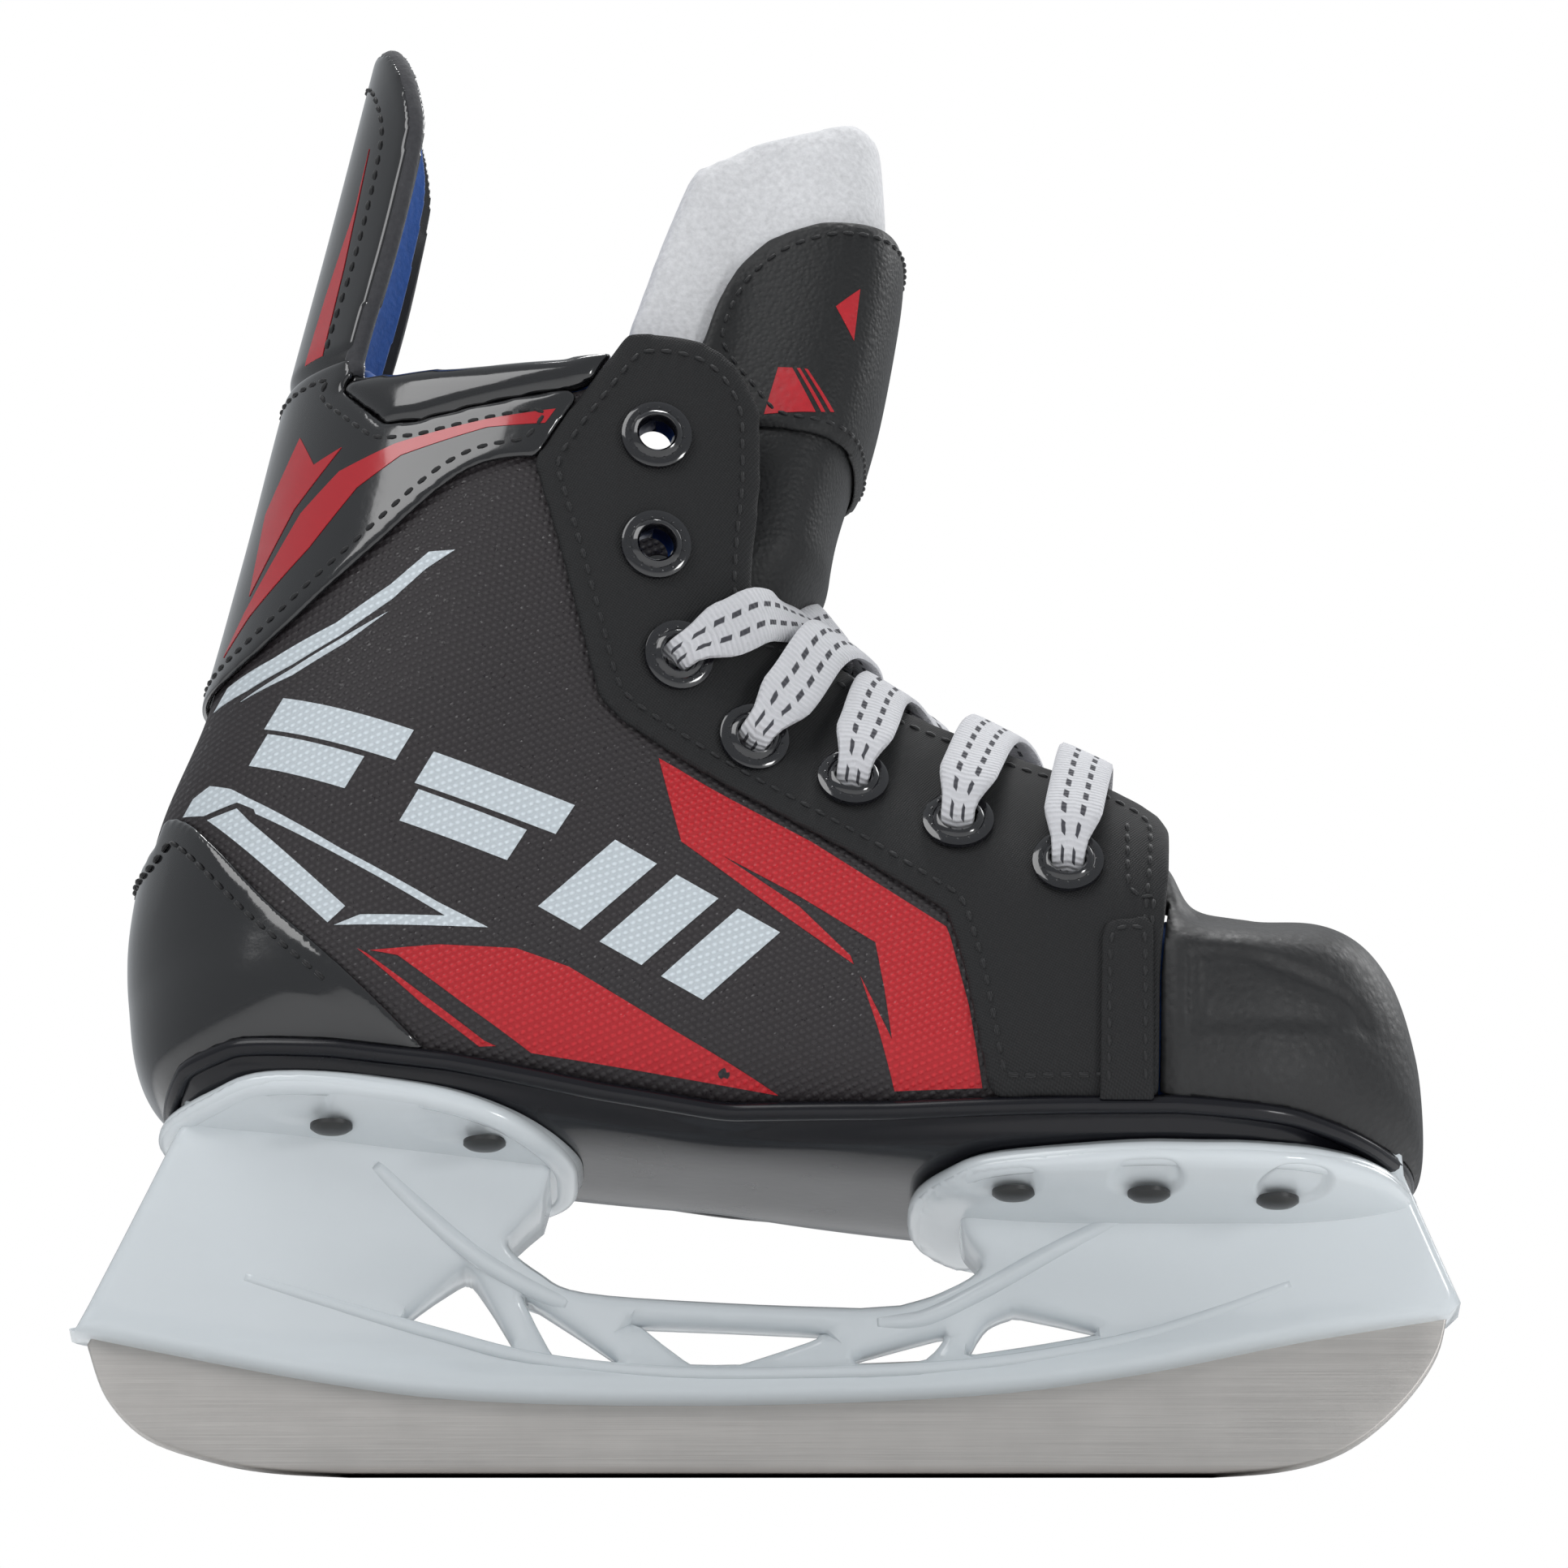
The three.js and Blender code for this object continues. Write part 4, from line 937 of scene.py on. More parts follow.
    def contours(self, inside: np.ndarray, rule: Level) -> list[np.ndarray]:
        """Lines where the region ends.

        Args:
            inside: distance inside the region at each grid point.
            rule: the level the lines lie at.

        Returns:
            Lines of six columns, place and outward direction.
        """
        points = self.level(rule, np.maximum(inside, 0) + 50)
        data = np.concatenate([points, self.normals(points)], -1)
        rows, cols = inside.shape
        spots: dict[tuple, np.ndarray] = {}
        links: dict[tuple, list[tuple]] = {}
        for i in range(rows - 1):
            for j in range(cols if self.wrap else cols - 1):
                k = (j + 1) % cols
                ring = [(i, j), (i + 1, j), (i + 1, k), (i, k)]
                crossing = []
                for a, b in zip(ring, ring[1:] + ring[:1]):
                    if (inside[a] >= 0) != (inside[b] >= 0):
                        key = (min(a, b), max(a, b))
                        if key not in spots:
                            low, high = inside[key[0]], inside[key[1]]
                            t = low / (low - high)
                            spots[key] = data[key[0]] * (1 - t) + data[key[1]] * t
                        crossing.append(key)
                for a, b in zip(crossing[::2], crossing[1::2]):
                    links.setdefault(a, []).append(b)
                    links.setdefault(b, []).append(a)
        lines, seen = [], set()
        for start in sorted(links, key=lambda key: len(links[key])):
            if start in seen:
                continue
            line, here = [start], start
            seen.add(start)
            while True:
                following = [key for key in links[here] if key not in seen]
                if not following:
                    break
                here = following[0]
                seen.add(here)
                line.append(here)
            if len(line) > 3:
                run = np.array([spots[key] for key in line])
                lines.append(np.vstack([run, run[:1]]) if line[0] in links[line[-1]] else run)
        return lines


@dataclass
class Layer:
    """A shell on the boot's form: a region between two levels."""

    name: str
    region: Region
    outer: Level
    inner: Level
    finish: Finish
    window: Window = field(default_factory=Window)
    rounds: int = 1

    def __post_init__(self) -> None:
        """Lay out its grid."""
        self.grid = FormGrid(self.window)
        self.inside = self.region(self.grid.bare)

    def build(self) -> bpy.types.Object:
        """Model the closed shell."""
        recipes, faces = self.grid.clipped(self.inside)
        first, second, share = recipes[:, 0].astype(int), recipes[:, 1].astype(int), recipes[:, 2:]
        layers = []
        for rule in (self.outer, self.inner):
            p = self.grid.level(rule, self.inside).reshape(-1, 3)
            layers.append(p[first] * (1 - share) + p[second] * share)
        used = sorted({int(v) for f in faces for v in f})
        order = {v: n for n, v in enumerate(used)}
        faces = [[order[int(v)] for v in f] for f in faces]
        points = np.vstack([layers[0][used], layers[1][used]])
        count = len(used)
        edges: dict[tuple[int, int], int] = {}
        for f in faces:
            for a, b in zip(f, f[1:] + f[:1]):
                edges[(a, b)] = edges.get((a, b), 0) + 1
        rim = [[b, a, a + count, b + count] for a, b in edges if (b, a) not in edges]
        if self.grid.tip:
            last = (len(self.grid.positions) - 1) * len(self.grid.turns)
            tip = {order[v] for v in range(last, last + len(self.grid.turns)) if v in order}
            rim = [r for r in rim if not (r[0] in tip and r[1] in tip)]
            if len(tip) == len(self.grid.turns):
                ring = [order[last + j] for j in range(len(self.grid.turns))]
                faces.append(ring)
        backs = [[v + count for v in reversed(f)] for f in faces]
        piece = mesh_piece(self.name, points, faces + backs + rim, self.finish)
        if self.rounds:
            soften(piece, self.rounds)
        LOG.info("%s: %d faces", self.name, len(piece.data.polygons))
        return piece

    def lines(self, inset: float, height: float) -> list[np.ndarray]:
        """Lines at an inset from the edge and a height over the form."""
        return self.grid.contours(self.inside - inset, flat(height))


class Projector:
    """Drops outlines along Y onto a finished piece."""

    def __init__(self, piece: bpy.types.Object) -> None:
        """Index the piece's surface."""
        data = piece.data
        places = [v.co / MM for v in data.vertices]
        self.tree = BVHTree.FromPolygons(places, [p.vertices for p in data.polygons])

    def drop(self, x: float, z: float, side: float) -> tuple[Vector, Vector] | None:
        """Where a line from one side meets the surface.

        Args:
            x: along the boot.
            z: height.
            side: -1 for the outer side, 1 for the inner.

        Returns:
            The place and its outward direction, or None.
        """
        place, normal, _, _ = self.tree.ray_cast(Vector((x, 90 * side, z)), Vector((0, -side, 0)))
        if place is None:
            return None
        return place, normal if normal.y * side > 0 else -normal

    def decal(self, name: str, outlines: list[Line], side: float, height: float, finish: Finish,
              wall: float = 0.25, step: float = 2.0) -> bpy.types.Object:
        """Thin printed shapes laid on the surface.

        Args:
            name: the piece's name.
            outlines: closed shapes seen from the side.
            side: -1 for the outer side, 1 for the inner.
            height: how far the face stands over the surface.
            finish: the print's finish.
            wall: the print's thickness.
            step: distance between its inner points.

        Returns:
            The object.
        """
        points, faces = [], []
        for outline in outlines:
            edge = self.ring(outline, 0.9)
            low, high = edge.min(0), edge.max(0)
            grid = np.array([(x, z) for x in np.arange(low[0], high[0], step)
                             for z in np.arange(low[1], high[1], step)]).reshape(-1, 2)
            if len(grid):
                grid = grid[distance_inside(grid, edge) > step * 0.35]
            flat_points = [Vector(p) for p in np.vstack([edge, grid])]
            result = delaunay_2d_cdt(flat_points, [], [list(range(len(edge)))], 1, 1e-5)
            base = len(points) // 2
            spots = []
            for p in result[0]:
                hit = self.drop(p[0], p[1], side)
                spots.append(hit or (Vector((p[0], 0, p[1])), Vector((0, side, 0))))
            for place, normal in spots:
                points.append(tuple(place + normal * height))
                points.append(tuple(place + normal * (height - wall)))
            edges: dict[tuple[int, int], int] = {}
            for f in result[2]:
                f = list(f)
                faces.append([2 * (base + v) for v in f])
                faces.append([2 * (base + v) + 1 for v in reversed(f)])
                for a, b in zip(f, f[1:] + f[:1]):
                    edges[(a, b)] = 1
            for a, b in edges:
                if (b, a) not in edges:
                    faces.append([2 * (base + b), 2 * (base + a), 2 * (base + a) + 1, 2 * (base + b) + 1])
        piece = mesh_piece(name, np.array(points), faces, finish)
        crisp(piece, 50)
        return piece

    @staticmethod
    def ring(outline: Line, step: float) -> np.ndarray:
        """A closed outline with its corners kept and its sides divided."""
        p = np.asarray(outline, float)
        out = []
        for a, b in zip(p, np.roll(p, -1, 0)):
            count = max(int(np.linalg.norm(b - a) / step), 1)
            out += [a + (b - a) * i / count for i in range(count)]
        return np.array(out)


def ride(piece: bpy.types.Object, body: str, slot: str, *nodes: str) -> bpy.types.Object:
    """Hang a piece on a body and hide the CAD nodes it stands for.

    Args:
        piece: the piece.
        body: the body's name.
        slot: not used.
        nodes: CAD nodes it replaces.

    Returns:
        The piece.
    """
    if nodes:
        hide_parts(*nodes)
    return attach(piece, body)


# ------------------------------------------------------------------ pattern lines, side view
COLLAR_TOP = [(-64, 171.5), (-56, 170.5), (-43.5, 170), (-31, 170.8), (-23.4, 172.3)]
COLLAR_SEAM = [(-66, 170), (-62, 165.2), (-58.7, 161.6), (-53.5, 161.3), (-43.4, 163.1), (-26, 166)]
EYESTAY_TOP = [(-23.4, 172.3), (-21.6, 174.6), (-12, 174), (-5.8, 170.2), (-2, 163)]
THROAT = [(-2, 151), (-2.8, 130), (6.8, 126), (20.6, 117), (36.3, 109.8), (51.9, 103.2), (60, 97.9)]
EYESTAY_INNER = [
    (33.8, 40), (33.8, 52), (30.1, 70), (27.2, 79.5), (12.9, 89.2), (0.5, 96.7),
    (-14.4, 105.5), (-23, 111), (-26.2, 114.5), (-32, 138), (-36.1, 153), (-30.9, 161.5),
]
TOE_JOINT = [(61.6, 94.6), (61.2, 86), (59.6, 70), (59.3, 51.5), (59.3, 30)]
FEATHER = [
    (-120, 55), (-91, 57.5), (-88, 61), (-80, 62.6), (-65, 61.5), (-47.5, 59.2), (-25, 55), (-5.6, 52),
    (19, 51.2), (62, 51.2), (80, 50.2), (93, 48.5), (120, 47),
]
COUNTER_TOP = [(-110, 96), (-95, 97.4), (-90.7, 101.5), (-76.4, 84.4), (-63.8, 71.8), (-45, 54)]
TOPLINE_LOWER = [(-20, 152.5), (-38.3, 153.7), (-48.3, 150.7), (-63.3, 138.1), (-84, 124), (-110, 122)]
GUARD_EDGE = [
    (-64.3, 175.5), (-63, 181), (-60.5, 189.5), (-58.2, 199), (-56.3, 209), (-55.5, 217), (-57.3, 226),
]
GUARD_FRONT = [(24, 160), (24, 170), (22, 190), (19.5, 210), (16, 224), (9, 231), (3, 233)]
TONGUE_FRONT = [(27, 90), (27, 166), (31, 182), (31, 200), (29, 208), (24, 214.6), (14, 218.6), (4, 219.6)]
TONGUE_EDGE = [
    (56, 112), (56, 92), (40, 96), (22, 104), (4, 112), (-10, 120), (-17, 134), (-19, 160), (-19.5, 178),
    (-16, 188), (-12, 197.5), (-7.5, 206.5), (-3.5, 212), (1.5, 216), (7, 218.6), (13, 219.6), (34, 219),
    (34, 150),
    (22, 128),
]
FACING_EDGE = [
    (54, 112), (54, 96), (36, 102), (22, 107), (6, 114), (-6, 124), (-10, 140), (-7, 160), (-5, 175),
    (-1, 185), (3, 192), (8, 195), (34, 195), (34, 150), (22, 128),
]
BADGE_EDGE = [
    (-5, 175.5), (-4, 180), (-1.6, 186.4), (1.9, 192), (6.6, 196.6), (12, 199), (34, 199.5), (34, 161),
    (14, 161), (-3.3, 165.5),
]
FAR, LOW, HIGH = 130.0, 20.0, 260.0
GUARD_FLEX = 175.3  # height of the guard's flexing line
EYELETS = [(-17.4, 157), (-17.6, 139), (-14.2, 121.5), (-2.6, 109), (12.9, 101.8), (29.1, 94.2), (45.8, 86.7)]
SIDES = {"lateral": -1.0, "medial": 1.0}

ABOVE_FEATHER = within([*[(x, z + GAP) for x, z in FEATHER], (FAR, HIGH), (-FAR, HIGH)])
BELOW_FEATHER = within([*FEATHER, (FAR, LOW), (-FAR, LOW)])
EYESTAY = within([*smooth(EYESTAY_TOP, 4), *smooth(THROAT, 4), *TOE_JOINT, *EYESTAY_INNER])
TOPLINE = within([
    *smooth(TOPLINE_LOWER, 4), (-FAR, GUARD_FLEX), (-64.3, GUARD_FLEX), (-64.3, 172), *COLLAR_SEAM,
    (-20, 167),
])
COUNTER = within([*smooth(COUNTER_TOP, 4), (-45, LOW), (-FAR, LOW)])
COLLAR = within([*COLLAR_TOP, *COLLAR_SEAM[::-1]])
QUARTER_AREA = within([
    *EYESTAY_TOP, *THROAT, *TOE_JOINT, (-FAR, LOW), (-FAR, 174), (-66, 174), *COLLAR_SEAM,
])
FRONT_OF_JOINT = within([
    (57, 96), (57, 83), *[(x + GAP, z) for x, z in TOE_JOINT[1:]], (FAR, LOW), (FAR, 95),
])
STRAP = within([(50.5, 48), (50.8, 75.5), (52, 77), (57.4, 77.6), (58.6, 76.4), (58.6, 48)])
LINING_AREA = within([
    *COLLAR_TOP[:-1], (-24, 171), (-25.5, 160), (-26, 134), (-24, 117), (-12, 102), (6, 93), (26, 85),
    (44, 77.5), (56, 76), (63, 88), (80, 96), (FAR, 96), (FAR, LOW), (-FAR, LOW), (-FAR, 175.1),
    (-64.3, 175.1),
])


@dataclass
class Boot:
    """The lasted boot: quarters, overlays, collar, toe cap, lining and outsole."""

    stitches: Stitching = field(default_factory=Stitching)
    welt: float = 1.5  # radius of the rolled bead round the outsole
    counter_lift: float = 0.9  # how far the counter swells at mid-height
    panel_step: float = 0.9  # relief of the toe cap's side panel
    quarters: dict[str, bpy.types.Object] = field(default_factory=dict)

    def sewn(self, name: str, layer: Layer, insets: Sequence[float], height: float,
             keep: Region, slot: str, body: str = "boot") -> bpy.types.Object:
        """Stitch rows that follow a layer's edge.

        Args:
            name: the piece's name.
            layer: the layer that is sewn.
            insets: distances of the rows from its edge.
            height: the rows' height over the form.
            keep: where the rows show.
            slot: the record's slot.
            body: the body it rides on.

        Returns:
            The stitching.
        """
        runs = []
        for inset in insets:
            for line in layer.lines(inset, height):
                good = keep(line[:, :3]) > 0
                for part in np.split(np.arange(len(line)), np.flatnonzero(np.diff(good.astype(int))) + 1):
                    if good[part[0]] and len(part) > 2:
                        runs.append(line[part])
        return ride(self.stitches.sew(name, runs), body, slot)

    def quarter(self, side: str, half: Region) -> None:
        """One quarter of coated weave; punch cuts its eyelet holes later.

        Args:
            side: lateral or medial.
            half: the half it lies in.
        """
        layer = Layer(f"quarter_{side}_shell", both(QUARTER_AREA, half), flat(0), flat(-WALL), QUARTER,
                      Window(150, 150, 0, 13))
        piece = layer.build()
        self.quarters[side] = piece
        ride(piece, "boot", "quarter_fabric", f"quarter_{side}")

    def overlays(self) -> None:
        """Eyestays, vamp straps, heel counter, topline and their seams."""
        fine = Window(200, 190, 0, 13)
        for side, half in (("lateral", outer_side), ("medial", inner_side)):
            stay = Layer(f"eyestay_{side}_panel", both(EYESTAY, ABOVE_FEATHER, half),
                         rounded(OVERLAY, 0.35, 1.2), flat(GAP), NYLON, fine)
            panel = stay.build()
            self.punch(panel, side)
            ride(panel, "boot", "eyestay_nylon", f"eyestay_{side}")
            self.sewn(f"eyestay_{side}_stitching", stay, (3.0,), OVERLAY, both(ABOVE_FEATHER, half),
                      "eyestay_nylon")
            strap = Layer(f"vamp_strap_{side}_panel", both(STRAP, ABOVE_FEATHER, half),
                          rounded(2.7, 0.3, 1.0), flat(1.7), NYLON, Window(220, 260, 9, 13))
            ride(strap.build(), "boot", "eyestay_nylon", f"vamp_strap_{side}")
            self.sewn(f"vamp_strap_{side}_stitching", strap, (1.3,), 2.6, both(ABOVE_FEATHER, half),
                      "eyestay_nylon")
            edge = both(FRONT_OF_JOINT, half)
            joint = Layer("joint", edge, flat(0), flat(-1), NYLON, fine)
            self.sewn(f"vamp_{side}_stitching", joint, (-2.2,), OVERLAY,
                      both(EYESTAY, ABOVE_FEATHER, half, within([(40, 54), (40, 96), (61, 96), (61, 54)])),
                      "eyestay_nylon")
        counter = Layer("heel_counter_cup", both(COUNTER, ABOVE_FEATHER), self.swelled, flat(GAP), PATENT,
                        Window(190, 200, 2, 11, (math.pi * 0.45, math.pi * 1.55)))
        ride(counter.build(), "boot", "patent", "heel_counter")
        self.sewn("heel_counter_stitching", counter, (2.8,), 2.0, within([*[(x, z + 8) for x, z in FEATHER],
                  (FAR, HIGH), (-FAR, HIGH)]), "patent")
        top = Layer("topline_patent", both(TOPLINE, outside(EYESTAY)), rounded(OVERLAY, 0.4, 1.4), flat(GAP),
                    PATENT, Window(200, 200, 0, 7))
        piece = top.build()
        ride(piece, "boot", "patent", "topline_overlay")
        self.sewn("topline_stitching", top, (2.6,), OVERLAY, both(outside(EYESTAY, 1.0), within(
            [(-FAR, 100), (0, 100), (0, 173), (-FAR, 173)])), "patent")
        self.flashes(Projector(piece))

    def swelled(self, s: Spots) -> np.ndarray:
        """The heel counter's outer level, fullest at mid-height."""
        lift = self.counter_lift * eased(s.inside, 0, 14)
        return rounded(OVERLAY, 0.4, 1.4)(s) + lift * 0.6

    def flashes(self, patent: Projector) -> None:
        """Red flashes on the topline, on both sides."""
        shapes = [
            [(-32.8, 161.6), (-43.4, 160.2), (-57.7, 157.6), (-66.5, 154.6), (-72.5, 149.0), (-81.3, 134.8),
             (-84.6, 128.6), (-80.5, 133.6), (-71.1, 142.2), (-63.6, 151.0), (-56.8, 155.4), (-43.4, 158.8),
             (-34.4, 159.2)],
            [(-73.0, 163.4), (-70.6, 157.2), (-66.2, 158.9), (-73.6, 150.2), (-80.6, 137.6), (-78.4, 152.0)],
        ]
        for side, sign in SIDES.items():
            ride(patent.decal(f"topline_flash_{side}", shapes, sign, 0.12, GLOSS_RED), "boot", "patent")

    def punch(self, panel: bpy.types.Object, side: str) -> None:
        """Cut the eyelet holes.

        Args:
            panel: the piece that is cut.
            side: lateral or medial.
        """
        surface = Projector(self.quarters[side])
        cutters = []
        for x, z in EYELETS:
            place, normal = surface.drop(x, z, SIDES[side])
            ring, faces = lathe([(0, -6), (3.7, -6), (3.7, 6), (0, 6)], 24)
            cutters.append(mesh_piece("punch", stood(ring, place, normal), faces, QUARTER))
        cutter = joined("punch", cutters)
        for piece in (panel, self.quarters[side]):
            modify(piece, "BOOLEAN", operation="DIFFERENCE", object=cutter, solver="EXACT")
        bpy.data.objects.remove(cutter)

    def prints(self) -> None:
        """White and red shapes printed on the quarters."""
        white = [
            [(-48.2, 138.7), (-52.2, 138.7), (-58.1, 133.8), (-66.5, 128.6), (-76.5, 124.9), (-83.8, 123.1),
             (-86.0, 119.9), (-80.6, 120.6), (-73.3, 122.9), (-66.0, 126.2), (-57.8, 131.3), (-52.6, 135.9)],
            [(-81.5, 119.0), (-73.3, 121.0), (-65.0, 124.9), (-58.5, 129.2), (-66.0, 125.6), (-73.3, 122.2)],
            [(-90.3, 101.3), (-88.7, 103.8), (-86.0, 105.0), (-82.6, 103.4), (-79.9, 101.3), (-65.2, 91.2),
             (-50.2, 82.0), (-42.6, 78.0), (-66.2, 79.1), (-62.2, 80.5), (-49.2, 79.9), (-78.6, 98.4),
             (-78.9, 99.2), (-81.6, 100.9), (-86.9, 100.1)],
            [(-86.3, 99.2), (-81.6, 99.9), (-79.6, 97.4), (-64.5, 82.0), (-67.2, 79.6), (-77.2, 89.9)],
        ]
        bars = [
            [(-77.5, 112.4), (-74.6, 117.2), (-54.2, 109.2), (-57.0, 104.6)],
            [(-79.8, 106.6), (-76.9, 111.4), (-61.8, 105.5), (-64.8, 100.7)],
            [(-54.0, 100.9), (-51.1, 105.7), (-29.5, 97.4), (-32.4, 92.8)],
            [(-56.3, 95.1), (-53.4, 99.9), (-36.8, 93.4), (-39.8, 88.6)],
            [(-35.0, 81.3), (-23.3, 92.0), (-16.9, 88.1), (-28.6, 77.5)],
            [(-25.6, 75.6), (-13.9, 86.3), (-7.5, 82.4), (-19.2, 71.8)],
            [(-16.2, 70.0), (-4.5, 80.7), (1.9, 76.8), (-9.8, 66.2)],
        ]
        red = [
            [(-16.7, 105.4), (-13.4, 103.6), (6.7, 91.7), (27.2, 77.3), (27.8, 75.7), (30.6, 64.5),
             (32.6, 52.4), (19.3, 52.4), (16.9, 61.0), (14.1, 69.6), (18.9, 59.6), (17.8, 67.3),
             (16.4, 75.0), (4.9, 82.6),
             (-7.0, 89.5), (4.9, 80.9), (12.6, 72.9), (13.1, 71.5), (0.6, 81.0), (-13.2, 91.8)],
            [(-60.6, 74.8), (-50.0, 75.4), (-38.4, 74.7), (-30.3, 71.7), (-14.2, 61.7), (1.6, 52.5),
             (-18.0, 56.0), (-36.0, 59.1), (-47.0, 66.9), (-56.4, 73.9)],
            [(-62.6, 75.2), (-61.2, 74.4), (-52.8, 68.1), (-43.2, 61.0), (-41.4, 60.2), (-43.9, 60.2),
             (-52.6, 66.5)],
        ]
        for side, sign in SIDES.items():
            surface = Projector(self.quarters[side])
            for name, shapes, ink in (("swoosh", white, INK_WHITE), ("bars", bars, INK_WHITE),
                                      ("chevron", red, INK_RED)):
                piece = surface.decal(f"print_{name}_{side}", shapes, sign, 0.1, ink)
                ride(piece, "boot", "quarter_fabric")

    def toe_drop(self, s: Spots) -> np.ndarray:
        """How far the top of the toe lies under the vamp's line."""
        x, z = s.place[..., 0], s.place[..., 2]
        return 6.0 * eased(x, 51, 57) * (1 - eased(x, 72, 98)) * eased(z, 73, 86)

    def cap_level(self, s: Spots) -> np.ndarray:
        """The toe cap's outer level: a step over the vamp and a sunk side panel."""
        outline = [
            (63.3, 74), (72.7, 74), (80.5, 71.8), (87.7, 69.4), (91, 66.5), (92.6, 62.6), (63.2, 60.2),
        ]
        panel = distance_inside(s.place[..., [0, 2]], np.array(outline, float))
        inner = eased(panel, 2.0, 3.4) - eased(panel, 0.0, 1.2)
        back = eased(s.place[..., 0], 59.5, 62.5)
        return 0.35 + 0.85 * back + self.panel_step * 0.55 * inner - self.toe_drop(s)

    def toe(self) -> None:
        """The moulded toe cap."""
        def inside(s: Spots) -> np.ndarray:
            """The cap's inner level."""
            return -WALL - self.toe_drop(s)
        cap = Layer("toe_cap_shell", both(FRONT_OF_JOINT, ABOVE_FEATHER), self.cap_level, inside, CAP,
                    Window(150, 230, 10, LAST), rounds=0)
        ride(cap.build(), "boot", "toe_cap_plastic", "toe_cap")

    def collar(self) -> None:
        """The padded patent roll round the top of the quarters."""
        def roll(s: Spots) -> np.ndarray:
            """A soft crown between its two edges."""
            return 0.3 + 1.9 * np.sqrt(np.clip(1 - (1 - np.clip(s.inside / 3.6, 0, 1)) ** 2, 0, 1))
        for side, half in (("lateral", outer_side), ("medial", inner_side)):
            layer = Layer(f"collar_{side}_roll", both(COLLAR, outside(EYESTAY), half), roll, flat(-WALL),
                          PATENT, Window(160, 260, 0, 5))
            piece = ride(layer.build(), "boot", "patent", f"collar_{side}")

    def inside_parts(self) -> None:
        """The terry lining; main gives the board and the insole their finishes."""
        def plump(s: Spots) -> np.ndarray:
            """The lining's inner face, fuller near the ankle."""
            ankle = np.exp(-((s.place[..., 0] + 45) ** 2 + (s.place[..., 2] - 120) ** 2) / 900)
            return -5.0 - 0.8 * ankle - self.toe_drop(s)

        def hidden(s: Spots) -> np.ndarray:
            """The lining's back."""
            return -2.3 - self.toe_drop(s)
        lining = Layer("boot_lining_terry", LINING_AREA, hidden, plump, TERRY, Window(120, 120))
        ride(lining.build(), "boot", "lining_fabric", "boot_lining")

    def sole(self) -> None:
        """The glossy outsole with its rolled welt and second step."""
        def step(s: Spots) -> np.ndarray:
            """A shallow step under the welt."""
            return SOLE_FACE - 0.9 + 0.9 * eased(s.inside, 2.0, 3.4)
        sole = Layer("outsole_shell", BELOW_FEATHER, step, flat(GAP), SOLE,
                     Window(140, 170, 5, LAST, (math.pi * 0.5, math.pi * 1.5)))
        piece = ride(sole.build(), "boot", "outsole_plastic", "outsole")
        grid = FormGrid(Window(220, 220, 4, LAST))
        inside = BELOW_FEATHER(grid.bare)
        beads = []
        for line in grid.contours(inside - 0.6, flat(1.4)):
            run = spaced(line, 1.6, False)[:, :3]
            if len(run) > 40:
                closed = np.linalg.norm(run[0] - run[-1]) < 1.0
                beads.append(tube("welt", run[:-1] if closed else run, self.welt, SOLE, closed, 12))
        ride(joined("outsole_welt", beads), "boot", "outsole_plastic")
        LOG.info("%s and its welt", piece.name)

    def build(self) -> None:
        """Make every piece of the boot over the quarters."""
        self.overlays()
        self.prints()
        self.toe()
        self.collar()
        self.inside_parts()
        self.sole()


